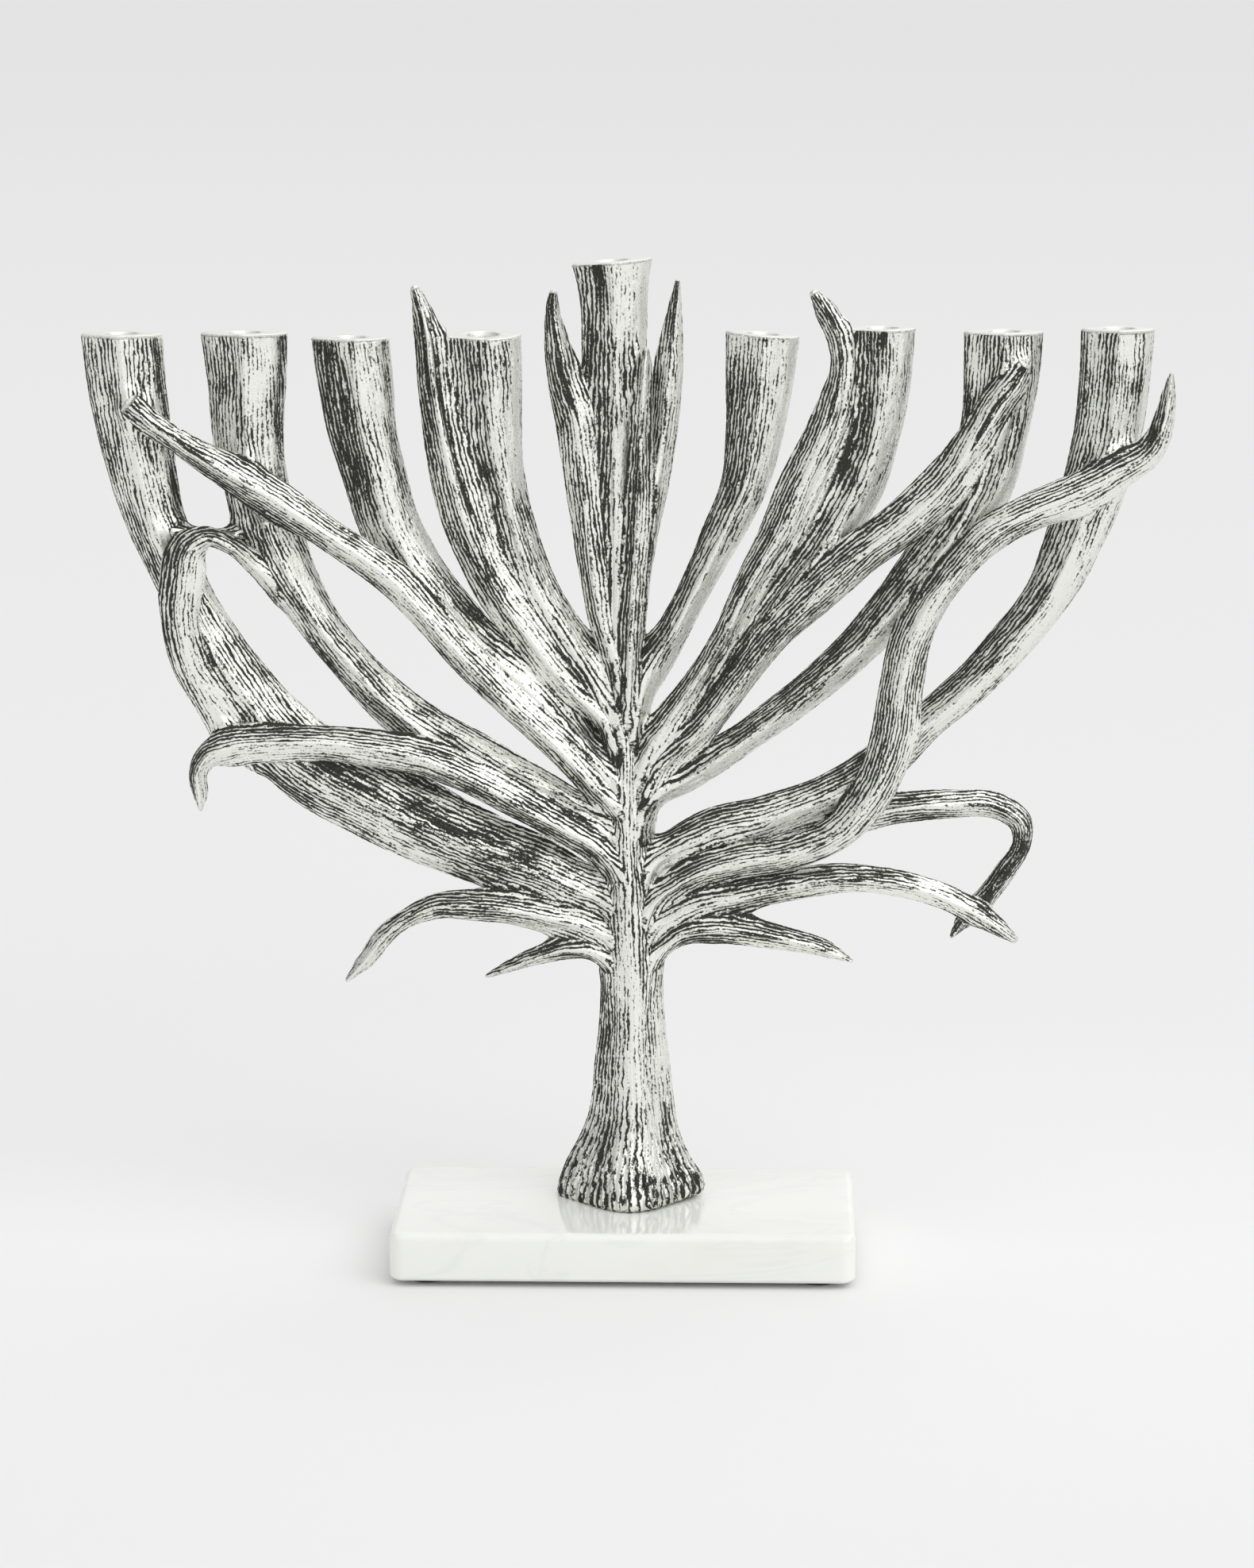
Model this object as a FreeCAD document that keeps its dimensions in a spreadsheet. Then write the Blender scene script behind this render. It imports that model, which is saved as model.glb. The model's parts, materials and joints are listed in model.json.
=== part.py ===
"""Nine-light branch menorah: a cast metal tree of arms and leaves bolted to a marble slab.

Millimetres, +Z up, +X to the right, the front faces -Y. The origin is the centre of the surface
it stands on. Arms 1 to 8 carry the candles from left to right and the shamash stands in the middle.
"""
import FreeCAD, Part
import math
import os
import Sketcher
from FreeCAD import Placement, Rotation, Vector

# ---------------------------------------------------------------- driving dimensions
# name, millimetres (or degrees where it says so), what it is
BASE_SIZES = [
    ("slab_length", 152.0, "marble slab, along X"),
    ("slab_width", 89.0, "marble slab, along Y"),
    ("slab_height", 16.0, "marble slab thickness"),
    ("slab_corner", 5.0, "radius of the slab's upright corners"),
    ("slab_edge", 2.5, "radius of the slab's top edges"),
    ("slab_arris", 1.0, "chamfer of the slab's bottom edges"),
    ("pad_diameter", 12.0, "rubber foot pad"),
    ("pad_height", 2.0, "rubber foot pad"),
    ("pad_inset", 12.0, "pad centre from each side of the slab"),
    ("stem_aside", 2.0, "stem axis to the right of the slab's centre"),
    ("stem_back", 4.0, "stem axis behind the slab's centre"),
    ("bolt_diameter", 8.0, "bolt that holds the casting to the slab"),
    ("bolt_head_across", 13.0, "bolt head across its flats"),
    ("bolt_head_height", 5.3, "bolt head"),
    ("bolt_grip", 14.0, "length of bolt inside the foot"),
    ("bolt_slack", 0.5, "gap round the bolt in the slab"),
    ("thread_slack", 0.1, "gap round and past the bolt in the foot"),
    ("washer_diameter", 18.0, "flat washer under the bolt head"),
    ("washer_thickness", 1.6, "flat washer under the bolt head"),
    ("recess_slack", 1.0, "gap round the washer in the slab's recess"),
    ("recess_depth", 8.0, "recess in the slab's underside"),
    ("foot_width", 50.0, "foot of the stem on the slab, along X"),
    ("foot_depth", 45.0, "foot of the stem on the slab, along Y"),
    ("stem_width", 20.5, "stem at its neck, below the lowest leaves"),
    ("stem_depth", 19.0, "stem at its neck, front to back"),
    ("neck_height", 79.0, "neck above the slab"),
    ("spine_height", 184.0, "top of the spine above the slab"),
    ("shamash_hold", 15.0, "how far the spine reaches up inside the shamash arm"),
    ("front_leaf_hold", 9.0, "how far the spine reaches up behind the leaf in front of it"),
    ("candle_bore", 10.5, "diameter of every candle hole"),
    ("candle_depth", 19.0, "depth of every candle hole"),
    ("cup_depth", 18.5, "arms at their rims, front to back"),
    ("limb_depth", 12.5, "arms along their length, front to back"),
    ("root_depth", 10.0, "arms where they leave the spine, front to back"),
]

# Stem sections from the foot up: height as a share of the neck height, or beyond the neck as a
# share of the way up the spine, then width and depth as shares of the foot's or the neck's.
FOOT_SECTIONS = [(0.0, 1.0), (0.11, 0.98), (0.24, 0.74)]
STEM_SECTIONS = [(0.5, 1.27), (1.0, 1.0)]
SPINE_SECTIONS = [(0.42, 0.72), (1.0, 0.36)]

# Every arm: sizes in millimetres (tilt in degrees), then the line it grows along from the spine
# to its rim. A size that starts with = is a formula of other sizes. A station is a percentage of the reach, a percentage of the rise from root to rim
# and a percentage of the rim's width.
ARMS = {
    "shamash_arm": {
        "sizes": {"reach": -6.6, "rim": 312.5, "root": "=spine_height - shamash_hold",
                  "width": 26.0, "tilt": -5.0},
        "line": [(51, 0, 31), (79, 26.5, 44), (85, 54.5, 54), (80, 80, 78), (100, 100, 100)],
    },
    "candle_arm_4": {
        "sizes": {"reach": -48.5, "rim": 288.5, "root": 157.5, "width": 25.0, "tilt": 0.0},
        "line": [(9, 0, 32), (42, 21, 50), (76, 48, 56), (93, 74, 78), (100, 100, 100)],
    },
    "candle_arm_5": {
        "sizes": {"reach": 42.5, "rim": 289.0, "root": 166.5, "width": 23.5, "tilt": 4.5},
        "line": [(5, 0, 32), (35, 22, 41), (72, 48.5, 58), (94, 73, 78), (100, 100, 100)],
    },
    "candle_arm_3": {
        "sizes": {"reach": -91.5, "rim": 287.5, "root": 134.0, "width": 25.5, "tilt": 0.0},
        "line": [(3, 0, 31), (30, 21, 49), (65.5, 42, 66), (92, 70, 83), (100, 100, 100)],
    },
    "candle_arm_6": {
        "sizes": {"reach": 81.0, "rim": 291.0, "root": 149.0, "width": 21.5, "tilt": 0.0},
        "line": [(9, 0, 37), (44, 24, 52), (77, 50.5, 75), (96.5, 75.5, 84), (100, 100, 100)],
    },
    "candle_arm_2": {
        "sizes": {"reach": -126.0, "rim": 289.0, "root": 118.0, "width": 28.0, "tilt": 0.0},
        "line": [(3, 0, 45), (36, 15.5, 57), (73.5, 37, 50), (95, 65, 70), (100, 100, 100)],
    },
    "candle_arm_7": {
        "sizes": {"reach": 120.5, "rim": 290.0, "root": 133.0, "width": 25.5, "tilt": 0.0},
        "line": [(4, 0, 28), (43, 21.5, 45), (78, 48.5, 66), (96, 74, 85), (100, 100, 100)],
    },
    "candle_arm_1": {
        "sizes": {"reach": -166.0, "rim": 288.5, "root": 94.0, "width": 26.5, "tilt": 0.0},
        "line": [(2, 0, 49), (31, 13, 92), (70, 34, 88), (91, 62, 66), (100, 100, 100)],
    },
    "candle_arm_8": {
        "sizes": {"reach": 157.5, "rim": 291.0, "root": 111.0, "width": 23.5, "tilt": 0.0},
        "line": [(3, 0, 38), (28, 11, 63), (65, 31, 55), (90, 58.5, 77), (100, 100, 100)],
    },
}

# Every leaf: sizes in millimetres (low and high are the heights of its lowest and highest points
# above the slab), then its line from its base to its tip. A station is a percentage of the reach,
# a percentage of the way from low to high, a percentage of the width and a percentage of how far
# the leaf stands forward of the arms. A fold is a second line that starts on the end of the
# first and runs to the tip.
LEAVES = {
    "leaf_shamash_left": {
        "sizes": {"reach": -25.5, "low": 178.0, "high": 302.0, "width": 11.7, "thick": 7.0,
                  "forward": 4.0},
        "line": [(19, 0, 34, 100), (50, 28, 65, 100), (77, 67.5, 100, 80), (96, 88, 70, 50),
                 (100, 100, 20, 30)],
    },
    "leaf_shamash_right": {
        "sizes": {"reach": 14.7, "low": 193.0, "high": 306.0, "width": 9.0, "thick": 6.0,
                  "forward": 3.0},
        "line": [(8, 0, 35, 100), (63, 49, 80, 95), (88, 82, 82, 55), (100, 100, 22, 30)],
    },
    "leaf_shamash_front": {
        "sizes": {"reach": 5.0, "low": "=spine_height - front_leaf_hold", "high": 284.0,
                  "width": 6.0, "thick": 6.0, "forward": 8.0},
        "line": [(-2, 0, 80, 80), (-22, 17, 100, 85), (16, 53, 75, 90), (74, 86, 95, 100),
                 (100, 100, 33, 100)],
    },
    "leaf_left_upright": {
        "sizes": {"reach": -70.0, "low": 159.0, "high": 304.0, "width": 15.5, "thick": 8.0,
                  "forward": 5.0},
        "line": [(10.5, 0, 30, 60), (50, 23, 73, 90), (80, 52, 100, 100), (91, 80, 74, 80),
                 (100, 100, 13, 40)],
    },
    "leaf_right_twisted": {
        "sizes": {"reach": 67.5, "low": 152.5, "high": 302.5, "width": 14.2, "thick": 8.0,
                  "forward": 5.0},
        "line": [(8, 0, 38, 60), (45, 26, 64, 95), (83, 59.5, 100, 100), (100, 82, 60, 90),
                 (87.5, 100, 22, 60)],
    },
    "leaf_left_crossing": {
        "sizes": {"reach": -164.0, "low": 129.5, "high": 266.5, "width": 13.5, "thick": 7.5,
                  "forward": 10.0},
        "line": [(1.5, 0, 45, 30), (14.8, 18, 76, 65), (32, 37, 79, 85), (49, 59.5, 84, 95),
                 (70.5, 77, 100, 100), (89, 90, 63, 100), (100, 100, 18, 90)],
    },
    "leaf_right_inner": {
        "sizes": {"reach": 127.0, "low": 145.0, "high": 279.0, "width": 15.2, "thick": 8.0,
                  "forward": 9.0},
        "line": [(6.5, 0, 40, 30), (18, 11.5, 60, 60), (36.5, 34, 69, 75), (58, 54, 91, 85),
                 (80, 71.5, 100, 95), (92.5, 90.5, 59, 100), (100, 100, 17, 100)],
    },
    "leaf_right_crossing": {
        "sizes": {"reach": 174.5, "low": 100.0, "high": 276.5, "width": 14.5, "thick": 8.0,
                  "forward": 10.0},
        "line": [(3.5, 0, 40, 40), (30, 10, 61, 75), (49, 33, 100, 88), (55.5, 57.5, 80, 95),
                 (74, 74.5, 88, 100), (96, 87, 62, 90), (100, 100, 14, 70)],
    },
    "leaf_left_sweeping": {
        "sizes": {"reach": -142.5, "low": 106.0, "high": 155.0, "width": 12.8, "thick": 7.5,
                  "forward": 8.5},
        "line": [(1, 0, 55, 40), (20, 50, 84, 80), (55, 92, 98, 100), (90, 98, 92, 98),
                 (100, 60, 30, 90)],
    },
    "leaf_left_curled": {
        "sizes": {"reach": -148.0, "low": 150.0, "high": 223.0, "width": 14.8, "thick": 6.5,
                  "forward": 12.0},
        "line": [(85, 0, 86, 20), (95.5, 35, 86, 60), (99.5, 70, 93, 92), (97, 95, 90, 100)],
        "fold": [(98, 93, 60, 100), (92, 100, 36, 105), (83, 84, 12, 95)],
    },
    "leaf_right_folded": {
        "sizes": {"reach": 128.0, "low": 91.0, "high": 135.5, "width": 11.5, "thick": 6.0,
                  "forward": -4.0},
        "line": [(60, 92, 100, 0), (80, 100, 88, 0), (94, 98, 78, 20), (99.5, 84.5, 64, 50)],
        "fold": [(98.5, 91, 60, 45), (97, 56, 60, 80), (90, 27, 58, 105), (82, 0, 17, 120)],
    },
    "leaf_right_drooping": {
        "sizes": {"reach": 126.0, "low": 90.0, "high": 110.0, "width": 10.6, "thick": 6.5,
                  "forward": 4.0},
        "line": [(4.5, 0, 50, 60), (22, 64, 85, 95), (50, 97, 97, 85), (80, 74, 84, 35),
                 (100, 0, 24, 10)],
    },
    "leaf_right_lowest": {
        "sizes": {"reach": 72.5, "low": 80.5, "high": 93.0, "width": 10.5, "thick": 6.5,
                  "forward": 4.0},
        "line": [(8, 0, 42, 60), (45, 100, 98, 90), (100, 16, 25, 30)],
    },
    "leaf_left_drooping": {
        "sizes": {"reach": -94.0, "low": 75.0, "high": 100.5, "width": 11.2, "thick": 6.5,
                  "forward": 4.0},
        "line": [(5, 45, 50, 60), (45, 105, 98, 95), (100, 0, 18, 10)],
    },
    "leaf_left_lowest": {
        "sizes": {"reach": -47.5, "low": 76.5, "high": 86.0, "width": 7.8, "thick": 5.5,
                  "forward": 3.0},
        "line": [(12, 40, 70, 90), (50, 100, 98, 80), (100, 0, 22, 10)],
    },
}
SLIM = 1e-3  # mm3: less shared volume than this is a touch, not an overlap


# ---------------------------------------------------------------- the document and its sheet
def size_rows():
    """Every named size: the base's and the stem's, then each arm's and each leaf's."""
    rows = list(BASE_SIZES)
    for name, member in {**ARMS, **LEAVES}.items():
        for what, value in member["sizes"].items():
            rows.append((f"{name}_{what}", value, name.replace("_", " ") + ", " + what))
    return rows


def fill_sheet(doc):
    """Write one row per size, each value with its name as its alias."""
    sheet = doc.addObject("Spreadsheet::Sheet", "Sizes")
    for row, (name, value, meaning) in enumerate(size_rows(), start=1):
        sheet.set(f"A{row}", name)
        sheet.set(f"B{row}", str(value))
        sheet.set(f"C{row}", meaning)
        sheet.setAlias(f"B{row}", name)
    doc.recompute()
    return sheet


DOC = FreeCAD.newDocument("menorah")
SHEET = fill_sheet(DOC)


def size(name):
    """A size as the sheet holds it now."""
    return float(SHEET.get(name))


def slab_top():
    """Formula for the height of the slab's top."""
    return "Sizes.pad_height + Sizes.slab_height"


# ---------------------------------------------------------------- small building blocks
def new_body(name, x="0", y="0", z="0"):
    """An empty body whose place follows three formulas."""
    body = DOC.addObject("PartDesign::Body", name)
    body.Label = name
    body.setExpression("Placement.Base.x", x)
    body.setExpression("Placement.Base.y", y)
    body.setExpression("Placement.Base.z", z)
    return body


def cast_body(name):
    """An empty body on the stem's axis, at the slab's top."""
    return new_body(name, "Sizes.stem_aside", "Sizes.stem_back", slab_top())


def flat_sketch(body, name, height="0"):
    """A level sketch in a body, at a height given by a formula."""
    sketch = body.newObject("Sketcher::SketchObject", name)
    plane = next(f for f in body.Origin.OriginFeatures if f.Role == "XY_Plane")
    sketch.AttachmentSupport = [(plane, "")]
    sketch.MapMode = "FlatFace"
    sketch.setExpression("AttachmentOffset.Base.z", height)
    return sketch


def worth(sketch, formula):
    """What a formula comes to now, so that a sketch can start at its true size."""
    return float(sketch.evalExpression(formula))


def bind(sketch, index, name, formula):
    """Name a constraint and tie it to a formula."""
    sketch.renameConstraint(index, name)
    sketch.setExpression("Constraints." + name, formula)


def circle(sketch, diameter):
    """A circle about the sketch's centre."""
    rim = sketch.addGeometry(Part.Circle(Vector(), Vector(0, 0, 1), 5.0), False)
    sketch.addConstraint(Sketcher.Constraint("Coincident", rim, 3, -1, 1))
    bind(sketch, sketch.addConstraint(Sketcher.Constraint("Diameter", rim, 10.0)), "across", diameter)


def polygon(sketch, corners):
    """Closed chain of straight edges through the corners."""
    last = len(corners)
    edges = [Part.LineSegment(Vector(*corners[k], 0), Vector(*corners[(k + 1) % last], 0))
             for k in range(last)]
    sketch.addGeometry(edges, False)
    for k in range(last):
        sketch.addConstraint(Sketcher.Constraint("Coincident", k, 2, (k + 1) % last, 1))


def limb_outline(sketch, width, depth):
    """Six-sided section of an arm: a ridge in front and behind, and flats at its two sides."""
    half_width, half_side, half_depth = f"({width}) / 2", f"({depth}) * 0.2", f"({depth}) / 2"
    half, side, ridge = (worth(sketch, each) for each in (half_width, half_side, half_depth))
    polygon(sketch, [(-half, -side), (0, -ridge), (half, -side), (half, side), (0, ridge),
                     (-half, side)])
    add = sketch.addConstraint
    make = Sketcher.Constraint
    add(make("Symmetric", 0, 1, 1, 2, -2))
    add(make("Symmetric", 2, 2, 4, 2, -2))
    add(make("Symmetric", 2, 1, 2, 2, -1))
    add(make("Symmetric", 0, 2, 3, 2, -1))
    add(make("PointOnObject", 0, 2, -2))
    bind(sketch, add(make("DistanceX", -1, 1, 2, 1, half)), "half_width", half_width)
    bind(sketch, add(make("DistanceY", -1, 1, 2, 2, side)), "half_side", half_side)
    bind(sketch, add(make("DistanceY", -1, 1, 3, 2, ridge)), "half_depth", half_depth)


def leaf_outline(sketch, width, thick):
    """Four-sided section of a leaf: a keel in front, a lower one behind and two thin edges."""
    half_width, front, back = f"({width}) / 2", f"({thick}) * 0.6", f"({thick}) * 0.4"
    half, keel, spine = (worth(sketch, each) for each in (half_width, front, back))
    polygon(sketch, [(-half, 0), (0, -keel), (half, 0), (0, spine)])
    add = sketch.addConstraint
    make = Sketcher.Constraint
    add(make("Symmetric", 0, 1, 1, 2, -1, 1))
    add(make("PointOnObject", 1, 2, -1))
    add(make("PointOnObject", 0, 2, -2))
    add(make("PointOnObject", 2, 2, -2))
    bind(sketch, add(make("DistanceX", -1, 1, 1, 2, half)), "half_width", half_width)
    bind(sketch, add(make("DistanceY", 0, 2, -1, 1, keel)), "front", front)
    bind(sketch, add(make("DistanceY", -1, 1, 2, 2, spine)), "back", back)


def loft(body, name, sections):
    """One smooth solid through the section sketches, in order."""
    feature = body.newObject("PartDesign::AdditiveLoft", name)
    feature.Profile = sections[0]
    feature.Sections = sections[1:]
    feature.Ruled = False
    body.Tip = feature
    return feature


def set_across(sketch, x, y, z, turn):
    """Stand a section at a place, turned about the front-to-back direction, all by formulas."""
    sketch.AttachmentOffset = Placement(Vector(), Rotation(Vector(0, 1, 0), 0))
    for axis, formula in (("x", x), ("y", y), ("z", z)):
        sketch.setExpression("AttachmentOffset.Base." + axis, formula)
    sketch.setExpression("AttachmentOffset.Rotation.Angle", turn)


def heading(aside, up, stations, index):
    """Formula for the angle from upright at which a line passes a station."""
    before = stations[max(index - 1, 0)]
    after = stations[min(index + 1, len(stations) - 1)]
    across = f"({aside}) * {round(after[0] - before[0], 3)}"
    rise = f"({up}) * {round(after[1] - before[1], 3)}"
    return f"atan2({across}; {rise})"


def check(condition, message):
    """Stop with a message when something isn't as it must be."""
    if not condition:
        raise RuntimeError(message)


# ---------------------------------------------------------------- slab, pads and bolt
def make_slab():
    """Marble slab with rounded corners and edges, a bolt hole and a recess for the washer."""
    body = new_body("marble_slab", z="Sizes.pad_height")
    outline = flat_sketch(body, "slab_outline")
    polygon(outline, [(-70, -40), (70, -40), (70, 40), (-70, 40)])
    add = outline.addConstraint
    make = Sketcher.Constraint
    for edge, kind in ((0, "Horizontal"), (1, "Vertical"), (2, "Horizontal"), (3, "Vertical")):
        add(make(kind, edge))
    add(make("Symmetric", 0, 1, 1, 2, -1, 1))
    bind(outline, add(make("DistanceX", 0, 1, 0, 2, 140)), "along", "Sizes.slab_length")
    bind(outline, add(make("DistanceY", 1, 1, 1, 2, 80)), "deep", "Sizes.slab_width")
    block = body.newObject("PartDesign::Pad", "slab_block")
    block.Profile = outline
    block.setExpression("Length", "Sizes.slab_height")
    DOC.recompute()
    upright = [f"Edge{k}" for k, edge in enumerate(block.Shape.Edges, start=1)
               if abs(edge.tangentAt(edge.FirstParameter).z) > 0.9]
    corners = body.newObject("PartDesign::Fillet", "slab_corners")
    corners.Base = (block, upright)
    corners.setExpression("Radius", "Sizes.slab_corner")
    DOC.recompute()
    edges = body.newObject("PartDesign::Fillet", "slab_top_edges")
    edges.Base = (corners, level_edges(corners.Shape, size("slab_height")))
    edges.setExpression("Radius", "Sizes.slab_edge")
    DOC.recompute()
    arris = body.newObject("PartDesign::Chamfer", "slab_bottom_edges")
    arris.Base = (edges, level_edges(edges.Shape, 0.0))
    arris.setExpression("Size", "Sizes.slab_arris")
    body.Tip = arris
    DOC.recompute()
    bore_up(body, "slab_bolt_hole", "Sizes.bolt_diameter + 2 * Sizes.bolt_slack",
            "Sizes.slab_height")
    bore_up(body, "slab_recess", "Sizes.washer_diameter + 2 * Sizes.recess_slack",
            "Sizes.recess_depth")
    return body


def level_edges(shape, height):
    """Names of the edges that lie level at a height in a body's own frame."""
    return [f"Edge{k}" for k, edge in enumerate(shape.Edges, start=1)
            if all(abs(end.Point.z - height) < SLIM for end in edge.Vertexes)]


def bore_up(body, name, diameter, depth, aside="Sizes.stem_aside", back="Sizes.stem_back"):
    """Round hole into a body from its underside."""
    before = body.Shape.Volume
    mouth = flat_sketch(body, name + "_mouth")
    mouth.setExpression("AttachmentOffset.Base.x", aside)
    mouth.setExpression("AttachmentOffset.Base.y", back)
    circle(mouth, diameter)
    hole = body.newObject("PartDesign::Pocket", name)
    hole.Profile = mouth
    hole.Reversed = True
    hole.setExpression("Length", depth)
    body.Tip = hole
    DOC.recompute()
    check(body.Shape.Volume < before - SLIM, f"{name} cut nothing")


def make_pads():
    """Four rubber pads under the slab's corners."""
    pads = []
    for deep, sign_y in (("front", "-"), ("back", "")):
        for aside, sign_x in (("left", "-"), ("right", "")):
            name = f"base_pad_{deep}_{aside}"
            body = new_body(name, f"{sign_x}(Sizes.slab_length / 2 - Sizes.pad_inset)",
                            f"{sign_y}(Sizes.slab_width / 2 - Sizes.pad_inset)")
            disc = flat_sketch(body, name + "_disc")
            circle(disc, "Sizes.pad_diameter")
            pad = body.newObject("PartDesign::Pad", name + "_pad")
            pad.Profile = disc
            pad.setExpression("Length", "Sizes.pad_height")
            pads.append(body)
    return pads


def make_washer():
    """Flat washer against the roof of the slab's recess."""
    body = new_body("base_washer", "Sizes.stem_aside", "Sizes.stem_back",
                    "Sizes.pad_height + Sizes.recess_depth - Sizes.washer_thickness")
    disc = flat_sketch(body, "washer_disc")
    circle(disc, "Sizes.washer_diameter")
    pad = body.newObject("PartDesign::Pad", "washer_pad")
    pad.Profile = disc
    pad.setExpression("Length", "Sizes.washer_thickness")
    body.Tip = pad
    DOC.recompute()
    bore_up(body, "washer_hole", "Sizes.bolt_diameter + Sizes.bolt_slack",
            "Sizes.washer_thickness", "0", "0")
    return body


def make_bolt():
    """Hexagon bolt up through the washer and the slab into the foot."""
    under_head = "Sizes.recess_depth - Sizes.washer_thickness"
    body = new_body("base_bolt", "Sizes.stem_aside", "Sizes.stem_back",
                    f"Sizes.pad_height + {under_head}")
    flats = flat_sketch(body, "head_hexagon", "-Sizes.bolt_head_height")
    corner = size("bolt_head_across") / math.sqrt(3)
    polygon(flats, [(corner * math.cos(math.radians(60 * k)), corner * math.sin(math.radians(60 * k)))
                    for k in range(6)])
    add = flats.addConstraint
    make = Sketcher.Constraint
    for k in range(1, 6):
        add(make("Equal", 0, k))
    rim = flats.addGeometry(Part.Circle(Vector(), Vector(0, 0, 1), corner), True)
    add(make("Coincident", rim, 3, -1, 1))
    for k in range(6):
        add(make("PointOnObject", k, 1, rim))
    add(make("Horizontal", 1))
    bind(flats, add(make("DistanceY", -1, 1, 1, 1, corner * math.sqrt(3) / 2)), "half_across",
         "Sizes.bolt_head_across / 2")
    head = body.newObject("PartDesign::Pad", "bolt_head")
    head.Profile = flats
    head.setExpression("Length", "Sizes.bolt_head_height")
    shank = flat_sketch(body, "shank_circle")
    circle(shank, "Sizes.bolt_diameter")
    rod = body.newObject("PartDesign::Pad", "bolt_shank")
    rod.Profile = shank
    rod.setExpression("Length", f"Sizes.slab_height - ({under_head}) + Sizes.bolt_grip")
    body.Tip = rod
    return body


# ---------------------------------------------------------------- the cast tree
def make_trunk():
    """Flared foot, stem and spine, with the bolt's hole up into the foot."""
    body = cast_body("trunk")
    neck = "Sizes.neck_height"
    levels = [(f"{neck} * {h}", f"Sizes.foot_width * {w}", f"Sizes.foot_depth * {w}")
              for h, w in FOOT_SECTIONS]
    levels += [(f"{neck} * {h}", f"Sizes.stem_width * {w}", f"Sizes.stem_depth * {w}")
               for h, w in STEM_SECTIONS]
    levels += [(f"{neck} + (Sizes.spine_height - {neck}) * {h}", f"Sizes.stem_width * {w}",
                f"Sizes.stem_depth * {w}") for h, w in SPINE_SECTIONS]
    sections = []
    for k, (height, width, depth) in enumerate(levels):
        sketch = flat_sketch(body, f"trunk_section_{k}", height)
        stem_outline(sketch, width, depth)
        sections.append(sketch)
    loft(body, "trunk_loft", sections)
    DOC.recompute()
    bore_up(body, "foot_thread", "Sizes.bolt_diameter + 2 * Sizes.thread_slack",
            "Sizes.bolt_grip + Sizes.thread_slack", "0", "0")
    return body


def stem_outline(sketch, width, depth):
    """Eight-sided section of the stem, with a corner at the middle of each side."""
    half_width, half_depth = f"({width}) / 2", f"({depth}) / 2"
    shoulder_out, shoulder_deep = f"({width}) * 0.37", f"({depth}) * 0.34"
    half, ridge, out, deep = (worth(sketch, each) for each in (half_width, half_depth, shoulder_out,
                                                               shoulder_deep))
    polygon(sketch, [(0, -ridge), (out, -deep), (half, 0), (out, deep), (0, ridge), (-out, deep),
                     (-half, 0), (-out, -deep)])
    add = sketch.addConstraint
    make = Sketcher.Constraint
    add(make("PointOnObject", 0, 1, -2))
    add(make("Symmetric", 0, 1, 4, 1, -1, 1))
    add(make("Symmetric", 2, 1, 6, 1, -1, 1))
    add(make("PointOnObject", 2, 1, -1))
    add(make("Symmetric", 1, 1, 3, 1, -1))
    add(make("Symmetric", 5, 1, 7, 1, -1))
    add(make("Symmetric", 1, 1, 7, 1, -2))
    bind(sketch, add(make("DistanceX", -1, 1, 2, 1, half)), "half_width", half_width)
    bind(sketch, add(make("DistanceY", -1, 1, 4, 1, ridge)), "half_depth", half_depth)
    bind(sketch, add(make("DistanceX", -1, 1, 3, 1, out)), "shoulder_out", shoulder_out)
    bind(sketch, add(make("DistanceY", -1, 1, 3, 1, deep)), "shoulder_deep", shoulder_deep)


def arm_depth(share):
    """Formula for an arm's depth at a share of the way from its root to its rim."""
    if share < 0.5:
        return f"Sizes.root_depth + (Sizes.limb_depth - Sizes.root_depth) * {round(2 * share, 3)}"
    flare = round((2 * share - 1) ** 1.5, 3)
    return f"Sizes.limb_depth + (Sizes.cup_depth - Sizes.limb_depth) * {flare}"


def make_arm(name, line):
    """Arm lofted along its line, ground flat at its rim and bored for a candle."""
    body = cast_body(name + "_blank")
    reach, root, width = (f"Sizes.{name}_{what}" for what in ("reach", "root", "width"))
    rise = f"(Sizes.{name}_rim - {root})"
    sections = []
    for k, (out, up, wide) in enumerate(line):
        sketch = flat_sketch(body, f"{name}_section_{k}")
        turn = heading(reach, rise, line, k)
        if k == len(line) - 1:
            turn = f"Sizes.{name}_tilt"
        set_across(sketch, f"{reach} * {out / 100}", "0", f"{root} + {rise} * {up / 100}", turn)
        limb_outline(sketch, f"{width} * {wide / 100}", arm_depth(k / (len(line) - 1)))
        sections.append(sketch)
    loft(body, name + "_loft", sections)
    DOC.recompute()
    before = body.Shape.Volume
    mouth = flat_sketch(body, name + "_candle_mouth")
    set_across(mouth, reach, "0", f"Sizes.{name}_rim", f"Sizes.{name}_tilt")
    circle(mouth, "Sizes.candle_bore")
    hole = body.newObject("PartDesign::Pocket", name + "_candle_hole")
    hole.Profile = mouth
    hole.setExpression("Length", "Sizes.candle_depth")
    body.Tip = hole
    DOC.recompute()
    bored = before - body.Shape.Volume
    full = math.pi * (size("candle_bore") / 2) ** 2 * size("candle_depth")
    check(abs(bored - full) < 0.02 * full, f"{name}: the candle hole took {bored:.0f} of {full:.0f}")
    return body


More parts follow.
